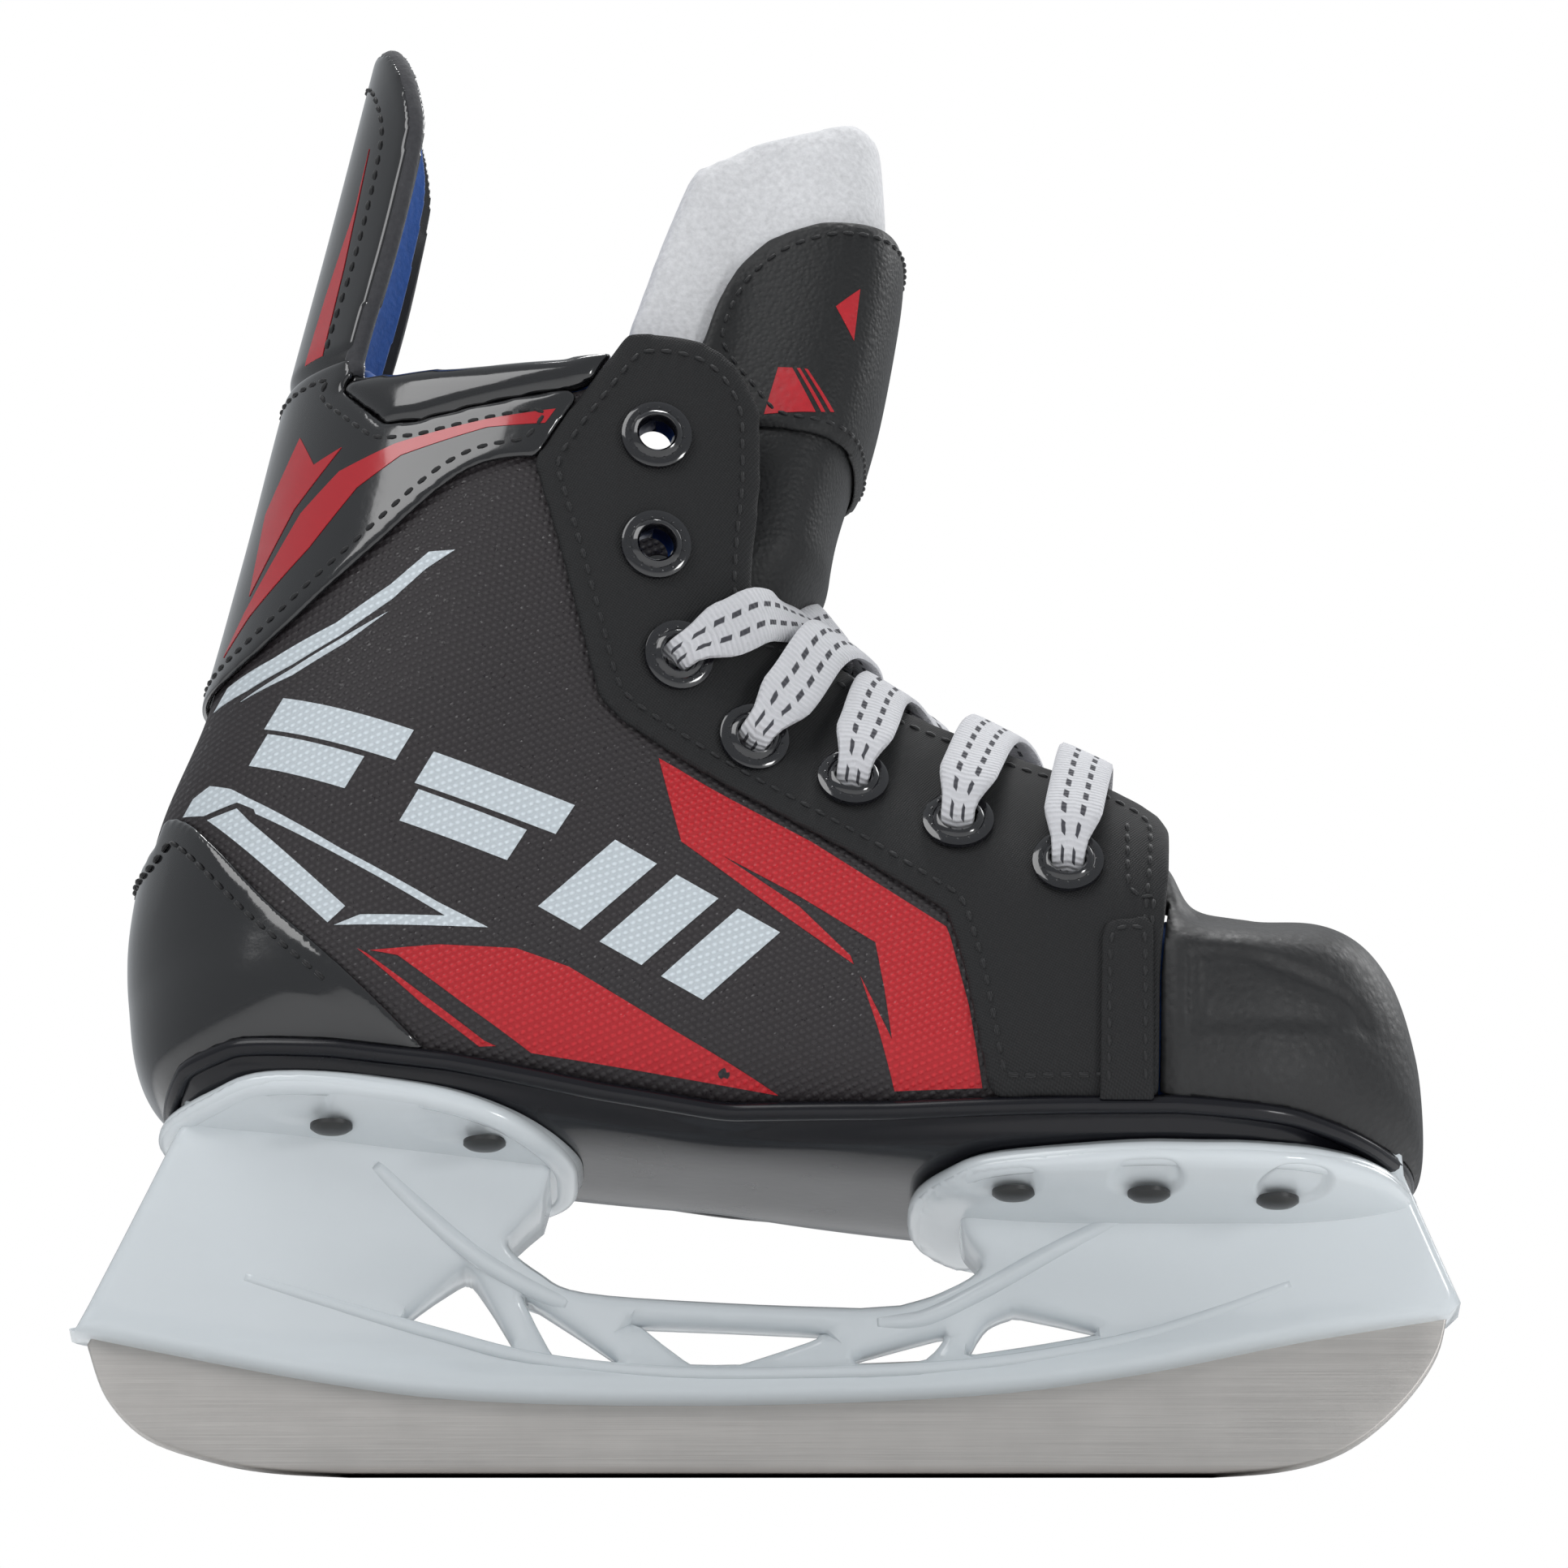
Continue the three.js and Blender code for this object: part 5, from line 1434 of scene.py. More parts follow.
@dataclass
class Tongue:
    """Felt tongue with vinyl facing and badge."""

    tuck: float = -11.5
    sink: float = -7.0
    facing_wall: float = 1.2
    felt_wall: float = 6.0
    bend: tuple[float, float] = (131.0, 147.0)
    curl: float = 5.0  # how far the top leans back

    def level(self, depth: float, drop: float = 0.0, reach: float = 1.0) -> Level:
        """The tongue's level, deeper at its sides and under the lace.

        Args:
            depth: how far below its front face.
            drop: how far the rim is rounded off.
            reach: the rim's width.

        Returns:
            The level.
        """
        def rule(s: Spots) -> np.ndarray:
            """The offset at each spot."""
            sink = self.sink * (1 - eased(s.ridge, 130, 146)) - self.curl * eased(s.place[..., 2], 190, 232)
            turn = np.where(s.turn > np.pi, s.turn - 2 * np.pi, s.turn)
            tuck = eased(1 - np.cos(np.minimum(np.abs(turn), np.pi / 2)), 0.05, 0.5)
            edge = np.clip(s.inside / reach, 0, 1)
            return sink + (self.tuck - sink) * tuck - depth - drop * (1 - np.sqrt(1 - (1 - edge) ** 2))
        return rule

    def build(self) -> None:
        """Make felt, facing, badge and their seams."""
        arch = within([*TONGUE_FRONT, *[(-y, z) for y, z in TONGUE_FRONT[::-1]]], Seen.FRONT)
        front = within([(-22, 240), (-22, 170), (-20, 130), (4, 104), (54, 84), (FAR, 84), (FAR, HIGH)])
        window = Window(150, 165, 0, 12.5, (-math.pi * 0.62, math.pi * 0.62))
        seams = Stitching(2.6, 1.9, 0.7)
        below = self.facing_wall + GAP
        specs = (
            ("tongue_felt", TONGUE_EDGE, self.level(below, 1.6, 3.0),
             self.level(below + self.felt_wall, -1.6, 3.0), FELT, "tongue_felt",
             ("tongue_felt_lower", "tongue_felt_upper")),
            ("tongue_facing", FACING_EDGE, self.level(0, 0.5, 1.2), self.level(self.facing_wall), VINYL,
             "tongue_vinyl", ("tongue_facing_lower", "tongue_facing_upper")),
            ("tongue_badge_patch", BADGE_EDGE, self.level(-GAP - self.facing_wall, 0.6, 1.2),
             self.level(-GAP), VINYL, "tongue_vinyl", ("tongue_badge",)),
        )
        for name, edge, outer, inner, finish, slot, nodes in specs:
            outline = edge if name == "tongue_badge_patch" else smooth(edge, 3, True)
            region = both(within(outline), arch, front)
            layer = Layer(name, region, outer, inner, finish, window)
            piece = layer.build()
            if name == "tongue_badge_patch":
                ride(piece, "tongue_top", slot, *nodes)
                runs = layer.grid.contours(layer.inside - 2.2, self.level(-GAP - self.facing_wall))
                ride(seams.sew("tongue_badge_stitching", runs), "tongue_top", slot)
                self.motif(Projector(piece))
                continue
            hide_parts(*nodes)
            name == "tongue_felt"
            self.bent(piece)
            if name == "tongue_facing":
                runs = layer.grid.contours(layer.inside - 1.8, self.level(0))
                thread = seams.sew("tongue_facing_stitching", runs)
                self.bent(thread)

    def bent(self, piece: bpy.types.Object) -> None:
        """Bake a piece's placement into its mesh."""
        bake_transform(piece)

    def motif(self, surface: Projector) -> None:
        """Red slashes and a wedge on the badge, on both sides."""
        shapes = [
            [(1.6, 173.6), (-0.6, 165.6), (7.4, 165.9), (3.8, 173.4)],
            [(4.5, 173.3), (8.3, 166.0), (8.9, 166.1), (5.0, 173.3)],
            [(5.7, 173.2), (9.7, 166.2), (10.3, 166.3), (6.2, 173.1)],
            [(10.6, 184.0), (14.4, 187.4), (13.4, 178.6)],
        ]
        for side, sign in SIDES.items():
            piece = surface.decal(f"tongue_motif_{side}", shapes, sign, 0.1, MATT_RED, step=1.5)
            ride(piece, "tongue_top", "tongue_vinyl")


@dataclass
class TendonGuard:
    """The tall guard behind the leg: patent shell, felt binding and lining."""

    bend: tuple[float, float] = (175.6, 190.0)
    foot: float = 168.0  # how far down it reaches behind the topline

    def shape(self, edge: float = 0.0) -> Region:
        """The guard's region, its front edge moved forward."""
        line = smooth([(x + edge, z) for x, z in GUARD_EDGE], 4)
        side = within([(-64.3 + edge, self.foot), *line, (-60 + edge, 233), (-FAR, 233), (-FAR, self.foot)])
        arch = within([*GUARD_FRONT, *[(-y, z) for y, z in GUARD_FRONT[::-1]]], Seen.FRONT)
        return both(side, arch)

    def build(self) -> None:
        """Make shell, binding, lining, seams and flashes."""
        window = Window(200, 190, 0, 3.2, (math.pi * 0.55, math.pi * 1.45))

        def tucked(offset: float) -> Level:
            """A level that dips behind the topline's upper edge."""
            def rule(s: Spots) -> np.ndarray:
                """The offset at each spot."""
                down = 1 - eased(s.place[..., 2], GUARD_FLEX - 1.0, GUARD_FLEX + 3.0)
                edge = np.clip(s.inside / 1.4, 0, 1)
                round_ = 0.45 * (1 - np.sqrt(1 - (1 - edge) ** 2))
                return offset - 1.5 * down - round_
            return rule
        specs = (
            ("tendon_guard_patent", self.shape(), tucked(OVERLAY), flat(-WALL), PATENT, "patent",
             ("tendon_guard_shell",)),
            ("tendon_guard_lining", self.shape(-4.5), flat(-2.3), flat(-6.0), TERRY, "lining_fabric",
             ("tendon_guard_felt",)),
        )
        for name, region, outer, inner, finish, slot, nodes in specs:
            layer = Layer(name, region, outer, inner, finish, window)
            piece = layer.build()
            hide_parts(*nodes)
            if finish is PATENT:
                self.trim(layer, piece)
            self.bent(piece)

    def trim(self, layer: Layer, shell: bpy.types.Object) -> None:
        """The felt binding round the edge, the seam beside it and the red flash."""
        runs = [line for line in layer.grid.contours(layer.inside - 0.6, flat(-0.4)) if len(line) > 20]
        beads = []
        for line in runs:
            shown = line[line[:, 2] > GUARD_FLEX - 3]
            start = int(np.argmax(np.linalg.norm(np.diff(shown[:, :3], axis=0), axis=1)))
            if np.linalg.norm(shown[start + 1, :3] - shown[start, :3]) > 5:
                shown = np.vstack([shown[start + 1:], shown[:start + 1]])
            run = spaced(shown, 1.6, False)[:, :3]
            beads.append(tube("binding", run, 1.5, GREY_FELT, False, 12))
        binding = joined("tendon_guard_binding", beads)
        self.bent(binding)
        above = within([(-FAR, 177), (0, 177), (0, 240), (-FAR, 240)])
        lines = layer.grid.contours(layer.inside - 4.0, flat(OVERLAY))
        seam = [line[above(line[:, :3]) > 0] for line in lines]
        thread = Stitching().sew("tendon_guard_stitching", [s for s in seam if len(s) > 4])
        self.bent(thread)
        surface = Projector(shell)
        flash = [
            (-62.9, 213.5), (-66.6, 192.4), (-69.7, 177.4), (-72.6, 177.4), (-69.4, 189.0), (-65.0, 203.0),
        ]
        for side, sign in SIDES.items():
            piece = surface.decal(f"tendon_guard_flash_{side}", [flash], sign, 0.12, GLOSS_RED)
            self.bent(piece)

    def bent(self, piece: bpy.types.Object) -> None:
        """Bake a piece's placement into its mesh."""
        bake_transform(piece)


# ------------------------------------------------------------------ blade and holder
SEAT_LINE = [
    (-105.9, 22.6), (-103.5, 21.3), (-67.7, 14.2), (-42.8, 11.3), (-5.6, 10.7), (31.5, 12.2),
    (56.4, 15.5), (81.2, 20.6), (104.3, 24.5),
]


@dataclass
class Moulding:
    """A part drawn from the side whose thickness changes over it."""

    name: str
    outline: np.ndarray
    holes: list[np.ndarray]
    half_width: Callable[[np.ndarray], np.ndarray]
    finish: Finish
    edge: float = 1.0
    edge_drop: float = 1.0
    step: float = 2.0

    def build(self) -> bpy.types.Object:
        """Fill the outline, then swell both faces to their width, rounded at every edge."""
        loops = [Projector.ring(o, 1.3) for o in [self.outline, *self.holes]]
        rims, inner = [], []
        for number, loop in enumerate(loops):
            ahead = np.roll(loop, -1, 0) - np.roll(loop, 1, 0)
            normal = np.stack([-ahead[:, 1], ahead[:, 0]], -1)
            normal /= np.maximum(np.linalg.norm(normal, axis=1, keepdims=True), 1e-9)
            area = np.sum(loop[:, 0] * np.roll(loop[:, 1], -1) - np.roll(loop[:, 0], -1) * loop[:, 1])
            inward = normal * np.sign(area) * (1 if number == 0 else -1)
            for share in (0.25, 0.6, 1.0):
                spots = loop + inward * self.edge * share
                room = self.room(spots, loops)
                inner.append(spots[room > self.edge * share * 0.85])
            rims.append(loop)
        low, high = loops[0].min(0), loops[0].max(0)
        grid = np.array([(x, z) for x in np.arange(low[0], high[0], self.step)
                         for z in np.arange(low[1], high[1], self.step)])
        inner.append(grid[self.room(grid, loops) > self.edge * 1.3])
        points = np.vstack(rims + inner)
        edges, start = [], 0
        for loop in rims:
            edges += [(start + i, start + (i + 1) % len(loop)) for i in range(len(loop))]
            start += len(loop)
        result = delaunay_2d_cdt([Vector(p) for p in points], edges, [], 0, 1e-5)
        flat_points = np.array([tuple(p) for p in result[0]])
        middles = np.array([flat_points[list(f)].mean(0) for f in result[2]])
        faces = [f for f, room in zip(result[2], self.room(middles, loops)) if room > 0]
        away = np.maximum(self.room(flat_points, loops), 0)
        t = np.clip(away / self.edge, 0, 1)
        width = self.half_width(flat_points) - self.edge_drop * (1 - np.sqrt(np.clip(1 - (1 - t) ** 2, 0, 1)))
        count = len(flat_points)
        solid = np.vstack([
            np.stack([flat_points[:, 0], -width, flat_points[:, 1]], -1),
            np.stack([flat_points[:, 0], width, flat_points[:, 1]], -1),
        ])
        sides: set[tuple[int, int]] = set()
        for f in faces:
            f = list(f)
            sides |= set(zip(f, f[1:] + f[:1]))
        rim = [[b, a, a + count, b + count] for a, b in sides if (b, a) not in sides]
        both_faces = [list(f) for f in faces] + [[v + count for v in reversed(list(f))] for f in faces]
        piece = mesh_piece(self.name, solid, both_faces + rim, self.finish)
        loose = bmesh.new()
        loose.from_mesh(piece.data)
        bmesh.ops.delete(loose, geom=[v for v in loose.verts if not v.link_faces], context="VERTS")
        loose.to_mesh(piece.data)
        loose.free()
        crisp(piece, 48)
        return piece

    @staticmethod
    def room(spots: np.ndarray, loops: list[np.ndarray]) -> np.ndarray:
        """Distance from every edge, positive in the material."""
        away = distance_inside(spots, loops[0])
        for loop in loops[1:]:
            away = np.minimum(away, -distance_inside(spots, loop))
        return away


@dataclass
class Blade:
    """Runner, trussed holder with two towers and flanges, and its rivets."""

    thickness: float = 3.0
    flange: float = 4.0
    rivet_head: float = 6.5
    rivets: dict[str, list[tuple[float, float]]] = field(default_factory=lambda: {
        "heel": [(-66.6, 19), (-43.2, 19)], "toe": [(37.4, 21), (58, 22), (77.7, 19)]})

    def runner(self) -> None:
        """The ground steel runner."""
        tail = smooth([(-64, 0), (-76, 0.7), (-85, 2.4), (-95, 6), (-101.3, 12.5), (-104.3, 20.5)], 6)
        nose = smooth([(104.4, 26), (102.8, 19.5), (98.7, 13), (92.5, 6.8), (86, 2.9), (78, 0.8), (68, 0)], 6)
        top = [(x * 0.97, z + 6) for x, z in SEAT_LINE[1:]]
        piece = Moulding("runner_blade", np.array([*top, *nose, *tail]), [],
                         lambda p: np.full(len(p), self.thickness / 2), STEEL, 0.35, 0.3, 6.0).build()
        ride(piece, "boot", "runner_steel", "blade_runner")

    @staticmethod
    def swell(points: np.ndarray) -> np.ndarray:
        """Half the holder's width: a slim rail and hollowed towers."""
        x, z = points[:, 0], points[:, 1]
        flare = np.interp(z, [8, 18, 26, 34, 43, 50, 66], [4.3, 4.5, 5.4, 7.6, 10.4, 13, 14])
        rail_z = np.interp(x, [p[0] for p in SEAT_LINE], [p[1] for p in SEAT_LINE])
        above = z - rail_z
        pocket = eased(above, 3.6, 6.4) * (1 - eased(z, 26, 36)) * (1 - eased(np.abs(x), 52, 78))
        return flare - 1.5 * pocket - 0.5 * eased(above, 2.8, 4.2) * (1 - eased(z, 20, 27))

    def ridge(self, name: str, line: Line, radius: float) -> bpy.types.Object:
        """A rounded strengthening ridge on both faces, fading into the tower."""
        parts = []
        for sign in (-1, 1):
            run = smooth(line, 8)
            width = self.swell(run)
            fade = np.sin(np.linspace(0.15, math.pi - 0.1, len(run)))
            path = np.stack([run[:, 0], sign * (width - radius + 0.9 * fade), run[:, 1]], -1)
            parts.append(tube(name, path, radius, HOLDER, False, 14))
        return joined(name, parts)

    def holder(self) -> None:
        """The holder: a moulding with windows, two flanges with rolled rims, and ridges."""
        side = [
            *smooth(SEAT_LINE, 5), (106.2, 26.4), (97.5, 45), (97, 50), (90, 52), (40, 52),
            *smooth([(29.4, 44), (29.8, 37), (32.6, 31.8), (26.5, 28.2), (20.4, 26.4)], 5),
            *smooth([(14.2, 26), (-6, 26.7), (-28, 28.2), (-35, 31), (-39.8, 34.8), (-38, 37.6),
                     (-34.6, 41)], 5),
            (-32.4, 50), (-36, 56), (-80, 60), (-89.4, 57), (-89.6, 53),
        ]
        windows = [
            [(-55.6, 24.4), (-46.8, 31.6), (-45.2, 31), (-38.8, 19.9), (-42.5, 20.3)],
            [(-37.7, 27.6), (-36.6, 27.4), (-23.2, 17.9), (-24.5, 17.7), (-33, 18.7)],
            [(-20, 23.6), (8, 22.3), (7.4, 21.2), (-4, 17.4), (-12, 17.4)],
            [(27, 22), (26.8, 20.6), (24, 17.9), (13.5, 17.5), (13.6, 18.1)],
            [(33.6, 23.8), (38, 25.6), (50.5, 22.6), (49.6, 21.8), (30.8, 18.8)],
        ]
        holes = [smooth(self.rounded_corners(w, 1.1), 2, True) for w in windows]
        body = Moulding("holder_body", np.array(side), holes, self.swell, HOLDER, 2.0, 1.5, 1.6).build()
        parts = [body]
        for number, line in enumerate((
            [(-60, 46.5), (-52, 39), (-45, 33.4), (-38, 29.6), (-31, 26.6)],
            [(-80, 30), (-66, 26), (-50, 21.6), (-36, 18), (-16, 15.4), (6, 15.2), (30, 16.4), (50, 19.6),
             (66, 24), (80, 29)],
            [(17, 23.7), (24, 24.3), (32, 27.9), (43, 33.6), (56, 40.0)],
        )):
            parts.append(self.ridge(f"holder_ridge_{number}", line, (1.5, 1.1, 1.5)[number]))
        parts += self.flanges()
        piece = joined("holder_moulding", parts)
        ride(piece, "boot", "holder_plastic", "blade_holder")

    @staticmethod
    def rounded_corners(outline: Line, radius: float) -> list[tuple[float, float]]:
        """An outline whose corners are cut back to be rounded later."""
        p = np.asarray(outline, float)
        out = []
        for before, here, after in zip(np.roll(p, 1, 0), p, np.roll(p, -1, 0)):
            for other in (before, after):
                way = other - here
                length = np.linalg.norm(way)
                out.append(tuple(here + way / length * min(radius, length * 0.3)))
        return out

    def flanges(self) -> list[bpy.types.Object]:
        """The two plates under the sole, with rims and rivet pads."""
        outlines = {
            "rear": [(-89, 0), (-87, 9), (-81, 16.5), (-72, 21.5), (-50, 23), (-38, 21), (-31, 16), (-27, 8),
                     (-26.3, 0)],
            "front": [(24, 0), (25, 10), (29, 18), (36, 23.5), (55, 26.5), (74, 25.5), (85, 20.5), (92, 12.5),
                      (95.5, 0)],
        }
        pads = np.array([(x, s * y) for spots in self.rivets.values() for x, y in spots for s in (-1, 1)])
        parts = []
        for name, half in outlines.items():
            loop = smooth([*half, *[(x, -y) for x, y in half[-2:0:-1]]], 5, True)
            region = both(within(loop, Seen.TOP), lambda p: 63 - p[..., 2])

            def level(s: Spots) -> np.ndarray:
                """The plate's underside with sunk rivet pads."""
                x, y = s.place[..., 0, None], s.place[..., 1, None]
                away = np.min(np.hypot(x - pads[:, 0], y - pads[:, 1]), -1)
                edge = np.clip(s.inside / 2.4, 0, 1)
                pad = 0.9 * (1 - eased(away, 4.0, 5.4)) * eased(s.inside, 0.5, 2.0)
                return HOLDER_TOP + self.flange - pad - 1.6 * (1 - np.sqrt(1 - (1 - edge) ** 2))
            window = Window(170, 150, 6 if name == "rear" else 9.5, 11 if name == "rear" else 16,
                            (math.pi * 0.68, math.pi * 1.32))
            layer = Layer(f"flange_{name}", region, level, flat(HOLDER_TOP), HOLDER, window, rounds=0)
            parts.append(layer.build())
            for line in layer.grid.contours(layer.inside - 1.2, flat(HOLDER_TOP + 1.9)):
                run = spaced(line, 1.5, False)[:, :3]
                if len(run) > 20:
                    closed = np.linalg.norm(run[0] - run[-1]) < 1.0
                    run = run[:-1] if closed else run
                    parts.append(tube("flange_rim", run, 1.9, HOLDER, closed, 14))
        return parts

    def fasteners(self) -> None:
        """Domed rivets, and finishes for the hidden studs, nuts and pins."""
        head = self.rivet_head / 2
        dome = [
            (0.01, 0.4), (0.01, -1.1), (head * 0.45, -1.02), (head * 0.8, -0.72), (head, -0.25), (head, 0.4),
        ]
        for place, spots in self.rivets.items():
            for number in range(1, 2 * len(spots) + 1):
                node = f"{place}_rivet_{number}"
                low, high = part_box(node)
                middle = (low + high) / 2 / MM
                points, faces = lathe(dome, 32)
                spot = (middle.x, middle.y, low.z / MM + 1.3)
                piece = mesh_piece(f"{node}_head", stood(points, spot, (0, 0, 1)), faces, RIVET)
                crisp(piece, 40)
                ride(piece, "boot", "rivet_steel", node)
        for end in ("rear", "front"):
            for kind in ("stud", "nut", "pin"):
                dress(f"{end}_runner_{kind}", ZINC)

    def build(self) -> None:
        """Make runner, holder and fasteners."""
        self.runner()
        self.holder()
        self.fasteners()


def dress(node: str, finish: Finish) -> None:
    """Give a CAD node that stays its finish."""
    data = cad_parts[node].data
    data.materials.clear()
    data.materials.append(finish.material())


@dataclass
class Eyelets:
    """Fourteen enamelled eyelets with a beaded flange."""

    bore: float = 2.8
    flange: float = 5.55
    seat: float = 2.4
    beads: int = 16

    def build(self) -> None:
        """Turn one eyelet at each place, standing along the boot's normal."""
        b, f, s = self.bore, self.flange, self.seat
        profile = [
            (b, -2.9), (b + 0.7, -2.9), (b + 0.7, s - 0.9), (f - 0.3, s - 0.9), (f, s - 0.5),
            (f - 0.1, s + 0.1), (f - 0.8, s + 0.45), (f - 1.5, s + 0.35), (b + 0.9, s + 0.8),
            (b + 0.35, s + 1.0), (b, s + 0.6),
        ]
        bead = lathe([(0.01, 0), (0.26, 0.02), (0.2, 0.16), (0.01, 0.22)], 8)
        whole = FormGrid(Window(120, 120, 0, 13))
        normals = whole.normals(whole.bare)
        for side, sign in SIDES.items():
            for row, (x, z) in enumerate(EYELETS, 1):
                half = whole.bare[..., 1] * sign > 0
                away = np.hypot(whole.bare[..., 0] - x, whole.bare[..., 2] - z) + np.where(half, 0, 1e6)
                nearest = np.argsort(away.ravel())[:6]
                normal = normals.reshape(-1, 3)[nearest].mean(0)
                place = whole.bare.reshape(-1, 3)[nearest[0]]
                place = np.array([x, place[1] - ((x - place[0]) * normal[0] + (z - place[2]) * normal[2])
                                  / normal[1], z])
                points, faces = lathe(profile, 40)
                blocks = [points]
                for k in range(self.beads):
                    a = 2 * math.pi * k / self.beads
                    ring = bead[0] + np.array([(f - 1.15) * math.cos(a), (f - 1.15) * math.sin(a), s + 0.32])
                    faces = faces + [tuple(v + sum(map(len, blocks)) for v in face) for face in bead[1]]
                    blocks.append(ring)
                made = stood(np.vstack(blocks), place, normal)
                piece = mesh_piece(f"eyelet_{side}_{row}_ring", made, faces, ENAMEL)
                crisp(piece, 45)
                ride(piece, "boot", "eyelet_enamel", f"eyelet_{side}_{row}")
        LOG.info("eyelets: %d", 2 * len(EYELETS))


# ------------------------------------------------------------------ lace
LACE_HALF = [
    (49.5, 0, 110.2, 0), (49.2, -18.5, 110, 0), (47, -34, 97.4, 0), (46.1, -36.6, 91.1, 0),
    (45.8, -35.1, 87.8, 0), (45.8, -29.6, 85.7, 0), (45.3, -25.1, 88.5, 0), (43, -10.4, 106.4, 0),
    (39.3, 0, 113, 3.6), (35, 17.5, 115.3, 0), (31.3, 32, 104.4, 0), (29.6, 35.1, 98.5, 0),
    (29, 33.6, 95.3, 0), (29.2, 28.1, 93.2, 0), (28.9, 23.5, 95.9, 0), (27, 12, 112.4, 0),
    (23.5, 0, 120.2, 3.6), (18.5, -16.5, 122, 0), (15.5, -28.3, 112, 0), (13.9, -31.7, 106.3, 0),
    (13.1, -30.4, 103, 0), (12.7, -25, 100.7, 0), (12.4, -20.4, 103.3, 0), (12, -12.2, 121.2, 0),
    (14.6, 0, 127.4, 3.4), (9.8, 21.5, 128, 0), (4.2, 29.8, 117.5, 0), (0.4, 31.9, 111.9, 0),
    (-1.8, 30.2, 109.5, 0), (-3.4, 24.6, 108.5, 0), (-3, 20.5, 111.9, 0), (3, 15.6, 127.4, 0),
    (10.4, 0, 134.2, 3.2), (0.8, -26.4, 130.3, 0), (-5.1, -33.1, 126, 0), (-10.8, -35.1, 122.7, 0),
    (-13.5, -33.1, 121.5, 0), (-14.8, -27.4, 121.6, 0), (-17, -22.5, 117, 0), (-14, -15, 104, 0),
    (4, -8, 93, 0), (4, -8, 84.4, 0),
]


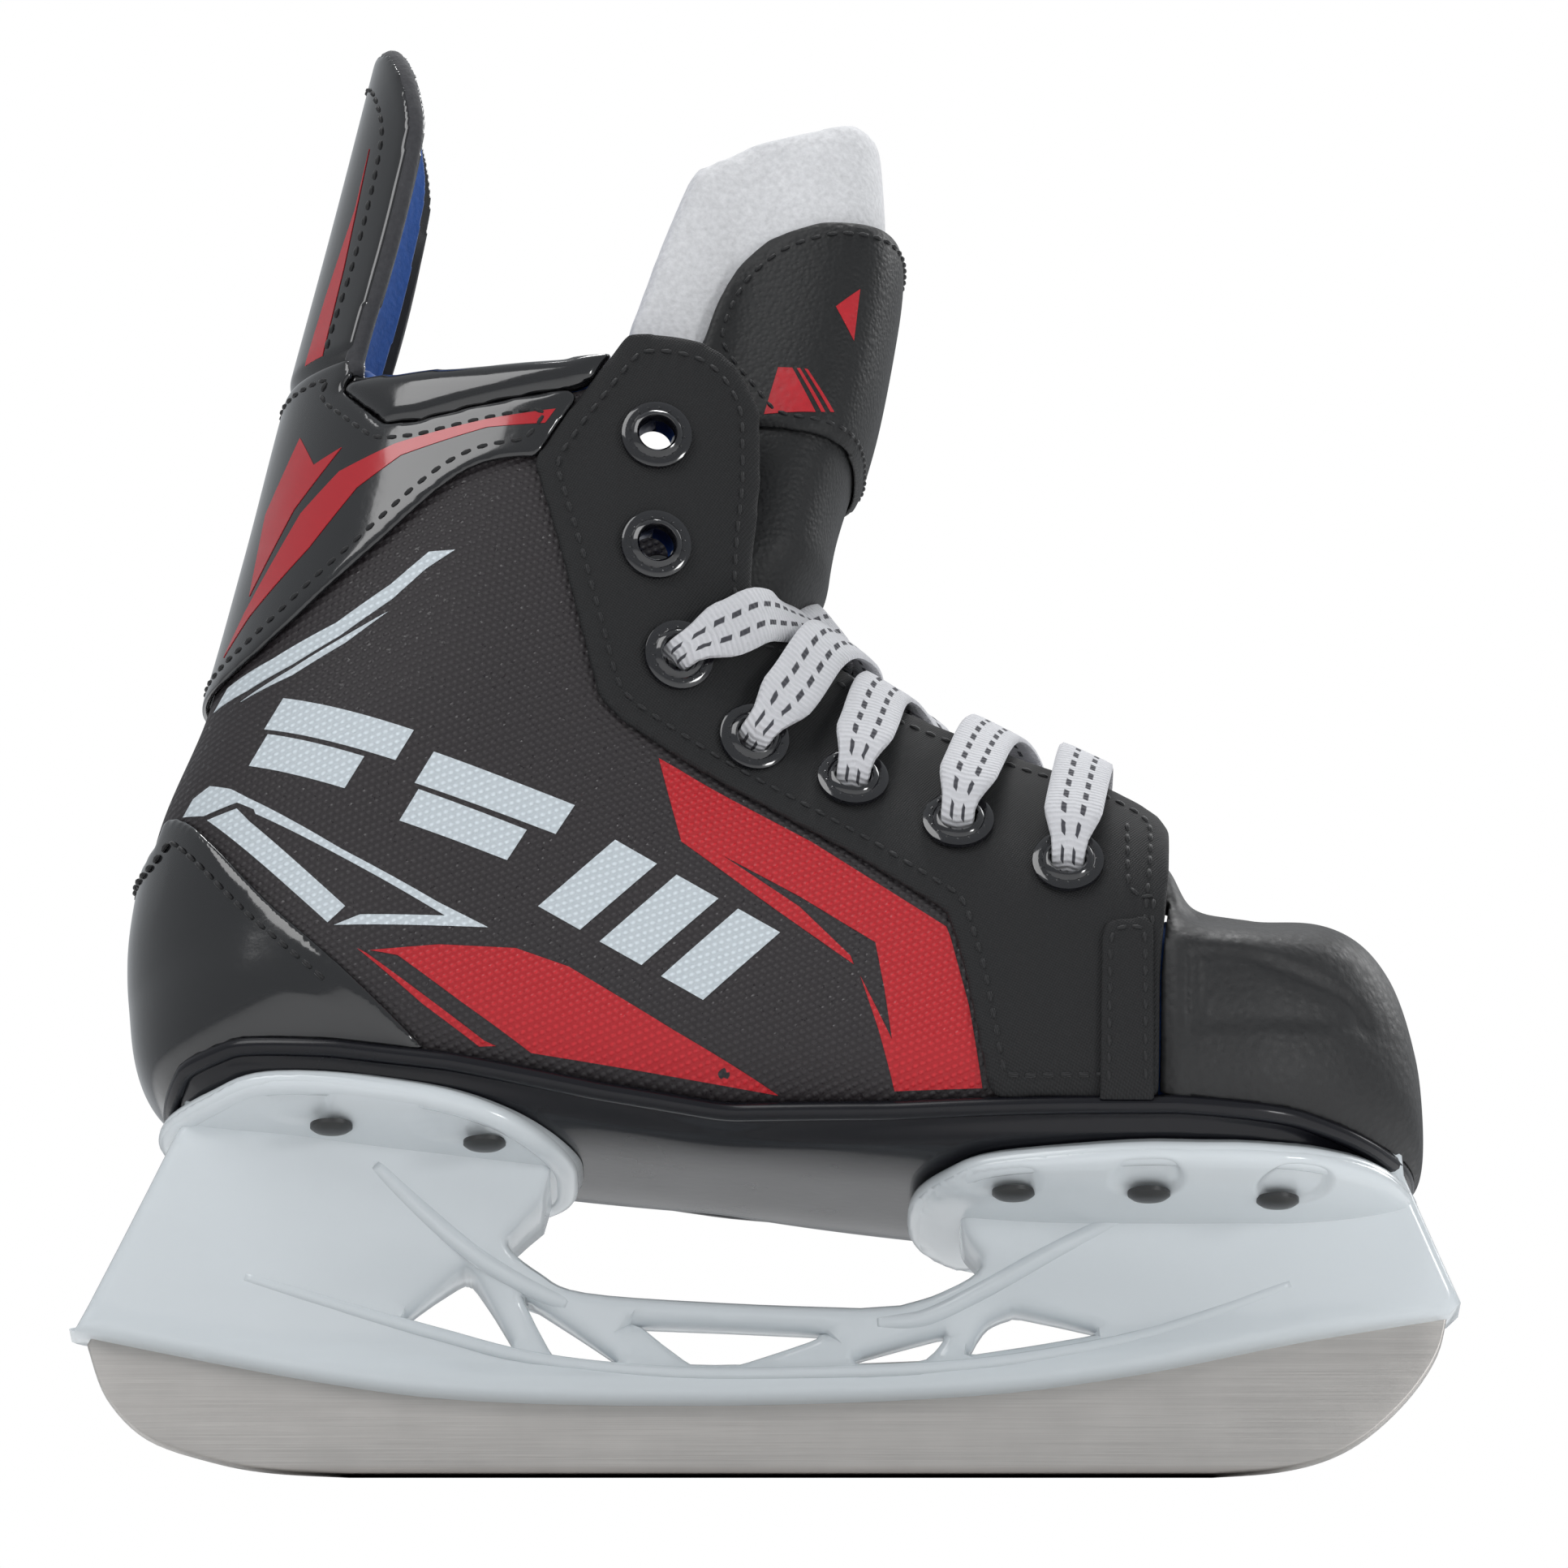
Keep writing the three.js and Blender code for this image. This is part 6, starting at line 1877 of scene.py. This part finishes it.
@dataclass
class Lace:
    """One flat lace: five crossed rows over the tongue, its ends wound in the foot space."""

    width: float = 9.0
    wall: float = 1.3
    gathered: tuple[float, float] = (5.2, 2.3)  # width and wall where it passes an eyelet
    coil_middle: tuple[float, float] = (14.0, 0.0)
    coil_half: float = 16.0  # half the straight run of a winding
    coil_outer: float = 12.9
    turn_gap: float = 3.35
    turns: int = 3
    levels: tuple[float, float] = (66.2, 77.6)
    tip: tuple[float, float, float] = (44.2, 5.0, 72.6)

    def winding(self, sign: float, height: float) -> np.ndarray:
        """A spiral from the tip inwards.

        Args:
            sign: the side of its tip.
            height: the height of its middle.

        Returns:
            Its points.
        """
        cx, cy = self.coil_middle
        points = [np.array([self.tip[0], sign * self.tip[1], self.tip[2]])]
        steps = 32
        for i in range(3, self.turns * steps + 1):
            share = i / steps
            radius = self.coil_outer - self.turn_gap * share
            a = sign * (share * 2 * math.pi)
            c, s = math.cos(a), math.sin(a)
            run = self.coil_half * (1 if c > 0.01 else -1 if c < -0.01 else 0)
            points.append(np.array([cx + run + radius * c, cy + radius * s, height]))
        return np.array(points)

    def route(self) -> np.ndarray:
        """The lace's whole centre line."""
        middle = [(x, y, z) for x, y, z, _ in LACE_HALF[::-1]]
        middle += [(x, 2 * max(0.0, (x - 10) * 0.028) - y, z + lift) for x, y, z, lift in LACE_HALF[1:]]
        first = self.winding(-1.0, self.levels[0])
        last = self.winding(1.0, self.levels[1])[::-1]
        strand = smooth(middle, 6)
        whole = np.vstack([first, strand, last])
        return spaced(whole, 1.7, False)

    def build(self) -> None:
        line = self.route()
        whole = FormGrid(Window(120, 120, 0, 14))
        flat_form = whole.bare.reshape(-1, 3)
        normals = whole.normals(whole.bare).reshape(-1, 3)
        ahead = np.gradient(line, axis=0)
        ahead /= np.maximum(np.linalg.norm(ahead, axis=1, keepdims=True), 1e-9)
        holes = np.array([(x, z) for x, z in EYELETS[2:]])
        ups, widths, walls = [], [], []
        for p, t in zip(line, ahead):
            wound = p[2] < 84 and abs(p[2] - 97) > 12
            up = np.cross(t, (0, 0, 1)) if wound else normals[np.argmin(((flat_form - p) ** 2).sum(1))]
            if not wound and abs(p[1]) < 22:
                up = up * 0.5 + np.array([0.35, 0, 0.6])
            up = up - t * (up @ t)
            ups.append(up)
            near = np.min(np.hypot(holes[:, 0] - p[0], holes[:, 1] - p[2])) if abs(p[1]) > 20 else 20.0
            open_ = float(eased(np.array(near), 2.0, 9.0))
            widths.append(self.gathered[0] + (self.width - self.gathered[0]) * open_)
            walls.append(self.gathered[1] + (self.wall - self.gathered[1]) * open_)
        ups_ = np.array(ups)
        for i in range(1, len(ups_)):
            if ups_[i] @ ups_[i - 1] < 0 and line[i][2] < 84:
                ups_[i] = -ups_[i]
        for _ in range(6):
            ups_ = (np.roll(ups_, 1, 0) + ups_ * 2 + np.roll(ups_, -1, 0)) / 4
            ups_ -= ahead * (ups_ * ahead).sum(1, keepdims=True)
        ups_ /= np.maximum(np.linalg.norm(ups_, axis=1, keepdims=True), 1e-9)
        across = np.cross(ahead, ups_)
        section = [(-0.5, 0), (-0.46, 0.4), (-0.3, 0.5), (0, 0.5), (0.3, 0.5), (0.46, 0.4), (0.5, 0),
                   (0.46, -0.4), (0.3, -0.5), (0, -0.5), (-0.3, -0.5), (-0.46, -0.4)]
        sides, count = len(section), len(line)
        rings = np.array([[p + a * u * w + n * v * h for u, v in section]
                          for p, a, n, w, h in zip(line, across, ups_, widths, walls)])
        faces = [
            (near + j, near + sides + j, near + sides + (j + 1) % sides, near + (j + 1) % sides)
            for near in range(0, (count - 1) * sides, sides) for j in range(sides)
        ]
        faces += [tuple(range(sides)), tuple(range((count - 1) * sides, count * sides))]
        piece = mesh_piece("lace_band", rings.reshape(-1, 3), faces, LACE)
        run = np.concatenate([[0], np.cumsum(np.linalg.norm(np.diff(line, axis=0), axis=1))])
        layer = piece.data.uv_layers.new(name="lace")
        for loop in piece.data.loops:
            ring, spot = divmod(loop.vertex_index, sides)
            layer.data[loop.index].uv = (section[spot][0] + 0.5, run[min(ring, count - 1)])
        crisp(piece, 60)
        ride(piece, "boot", "lace_cotton", "lace", "lace_hank")
        for side in SIDES:
            dress(f"aglet_{side}", ENAMEL)
        LOG.info("lace: %.2f m", run[-1] * MM)


# ------------------------------------------------------------------ room
@dataclass
class Studio:
    """Pale floor that can't be seen from below, soft lights and the camera."""

    lens: float = 265.0
    distance: float = 1.8
    elevation: float = math.radians(-19.0)
    target: tuple[float, float, float] = (0.0025, 0.0, 0.1118)
    sky: float = 0.42  # how brightly the white room lights the skate

    def build(self) -> None:
        """Set the scene up."""
        eye = Vector((self.target[0], -self.distance * math.cos(self.elevation),
                      self.target[2] + self.distance * math.sin(self.elevation)))
        data = bpy.data.cameras.new("camera")
        data.lens, data.sensor_width, data.clip_start, data.clip_end = self.lens, 36.0, 0.05, 50.0
        camera = bpy.data.objects.new("camera", data)
        camera.location = eye
        camera.rotation_euler = (Vector(self.target) - eye).to_track_quat("-Z", "Y").to_euler()
        bpy.context.scene.collection.objects.link(camera)
        bpy.context.scene.camera = camera
        bpy.ops.mesh.primitive_plane_add(size=8, location=(0, 0, 0))
        floor = bpy.context.object
        floor.name = "studio_floor"
        floor.data.materials.append(self.floor_finish())
        world = bpy.data.worlds.new("studio")
        world.use_nodes = True
        tree = world.node_tree
        seen, lit = tree.nodes["Background"], tree.nodes.new("ShaderNodeBackground")
        seen.inputs[0].default_value, lit.inputs[0].default_value = (1, 1, 1, 1), (0.92, 0.96, 1, 1)
        seen.inputs[1].default_value, lit.inputs[1].default_value = 1.0, self.sky
        ray, both_ = tree.nodes.new("ShaderNodeLightPath"), tree.nodes.new("ShaderNodeMixShader")
        tree.links.new(ray.outputs["Is Camera Ray"], both_.inputs[0])
        tree.links.new(lit.outputs[0], both_.inputs[1])
        tree.links.new(seen.outputs[0], both_.inputs[2])
        tree.links.new(both_.outputs[0], tree.nodes["World Output"].inputs[0])
        bpy.context.scene.world = world
        bpy.context.scene.view_settings.view_transform = "Standard"
        for name, place, size, power in (
            ("key", (-0.7, -0.9, 1.1), 0.9, 7.5), ("rim", (0.9, 0.6, 0.9), 0.6, 5.0),
            ("front", (0.9, -1.0, 0.1), 0.25, 2.8), ("top", (0.1, 0.15, 1.1), 0.35, 4.5),
            ("low", (0.1, -1.2, -0.9), 0.25, 3.0),
        ):
            light = bpy.data.lights.new(name, "AREA")
            light.energy, light.size = power, size
            lamp = bpy.data.objects.new(name, light)
            lamp.location = place
            lamp.rotation_euler = (Vector((0, 0, 0.1)) - Vector(place)).to_track_quat("-Z", "Y").to_euler()
            bpy.context.scene.collection.objects.link(lamp)

    def floor_finish(self) -> bpy.types.Material:
        """White floor, clear on its underside."""
        g = Graph("floor_white")
        g.feed(g.shader.inputs["Base Color"], (0.9, 0.9, 0.9, 1))
        g.feed(g.shader.inputs["Roughness"], 0.6)
        back = g.add("ShaderNodeNewGeometry", {}, {}, "Backfacing")
        clear = g.add("ShaderNodeBsdfTransparent", {}, {})
        shaded = Wire(g, g.shader.outputs[0])
        out = next(n for n in g.tree.nodes if n.type == "OUTPUT_MATERIAL")
        g.feed(out.inputs[0], g.add("ShaderNodeMixShader", {}, {0: back, 1: shaded, 2: clear}))
        return g.material


def main() -> None:
    """Build the skate and its room."""
    Studio().build()
    boot = Boot()
    for side, half in (("lateral", outer_side), ("medial", inner_side)):
        boot.quarter(side, half)
    Lace().build()
    Eyelets().build()
    boot.build()
    Tongue().build()
    TendonGuard().build()
    Blade().build()
    dress("lasting_board", BOARD)
    dress("insole", TERRY)


if __name__ == "__main__":
    main()
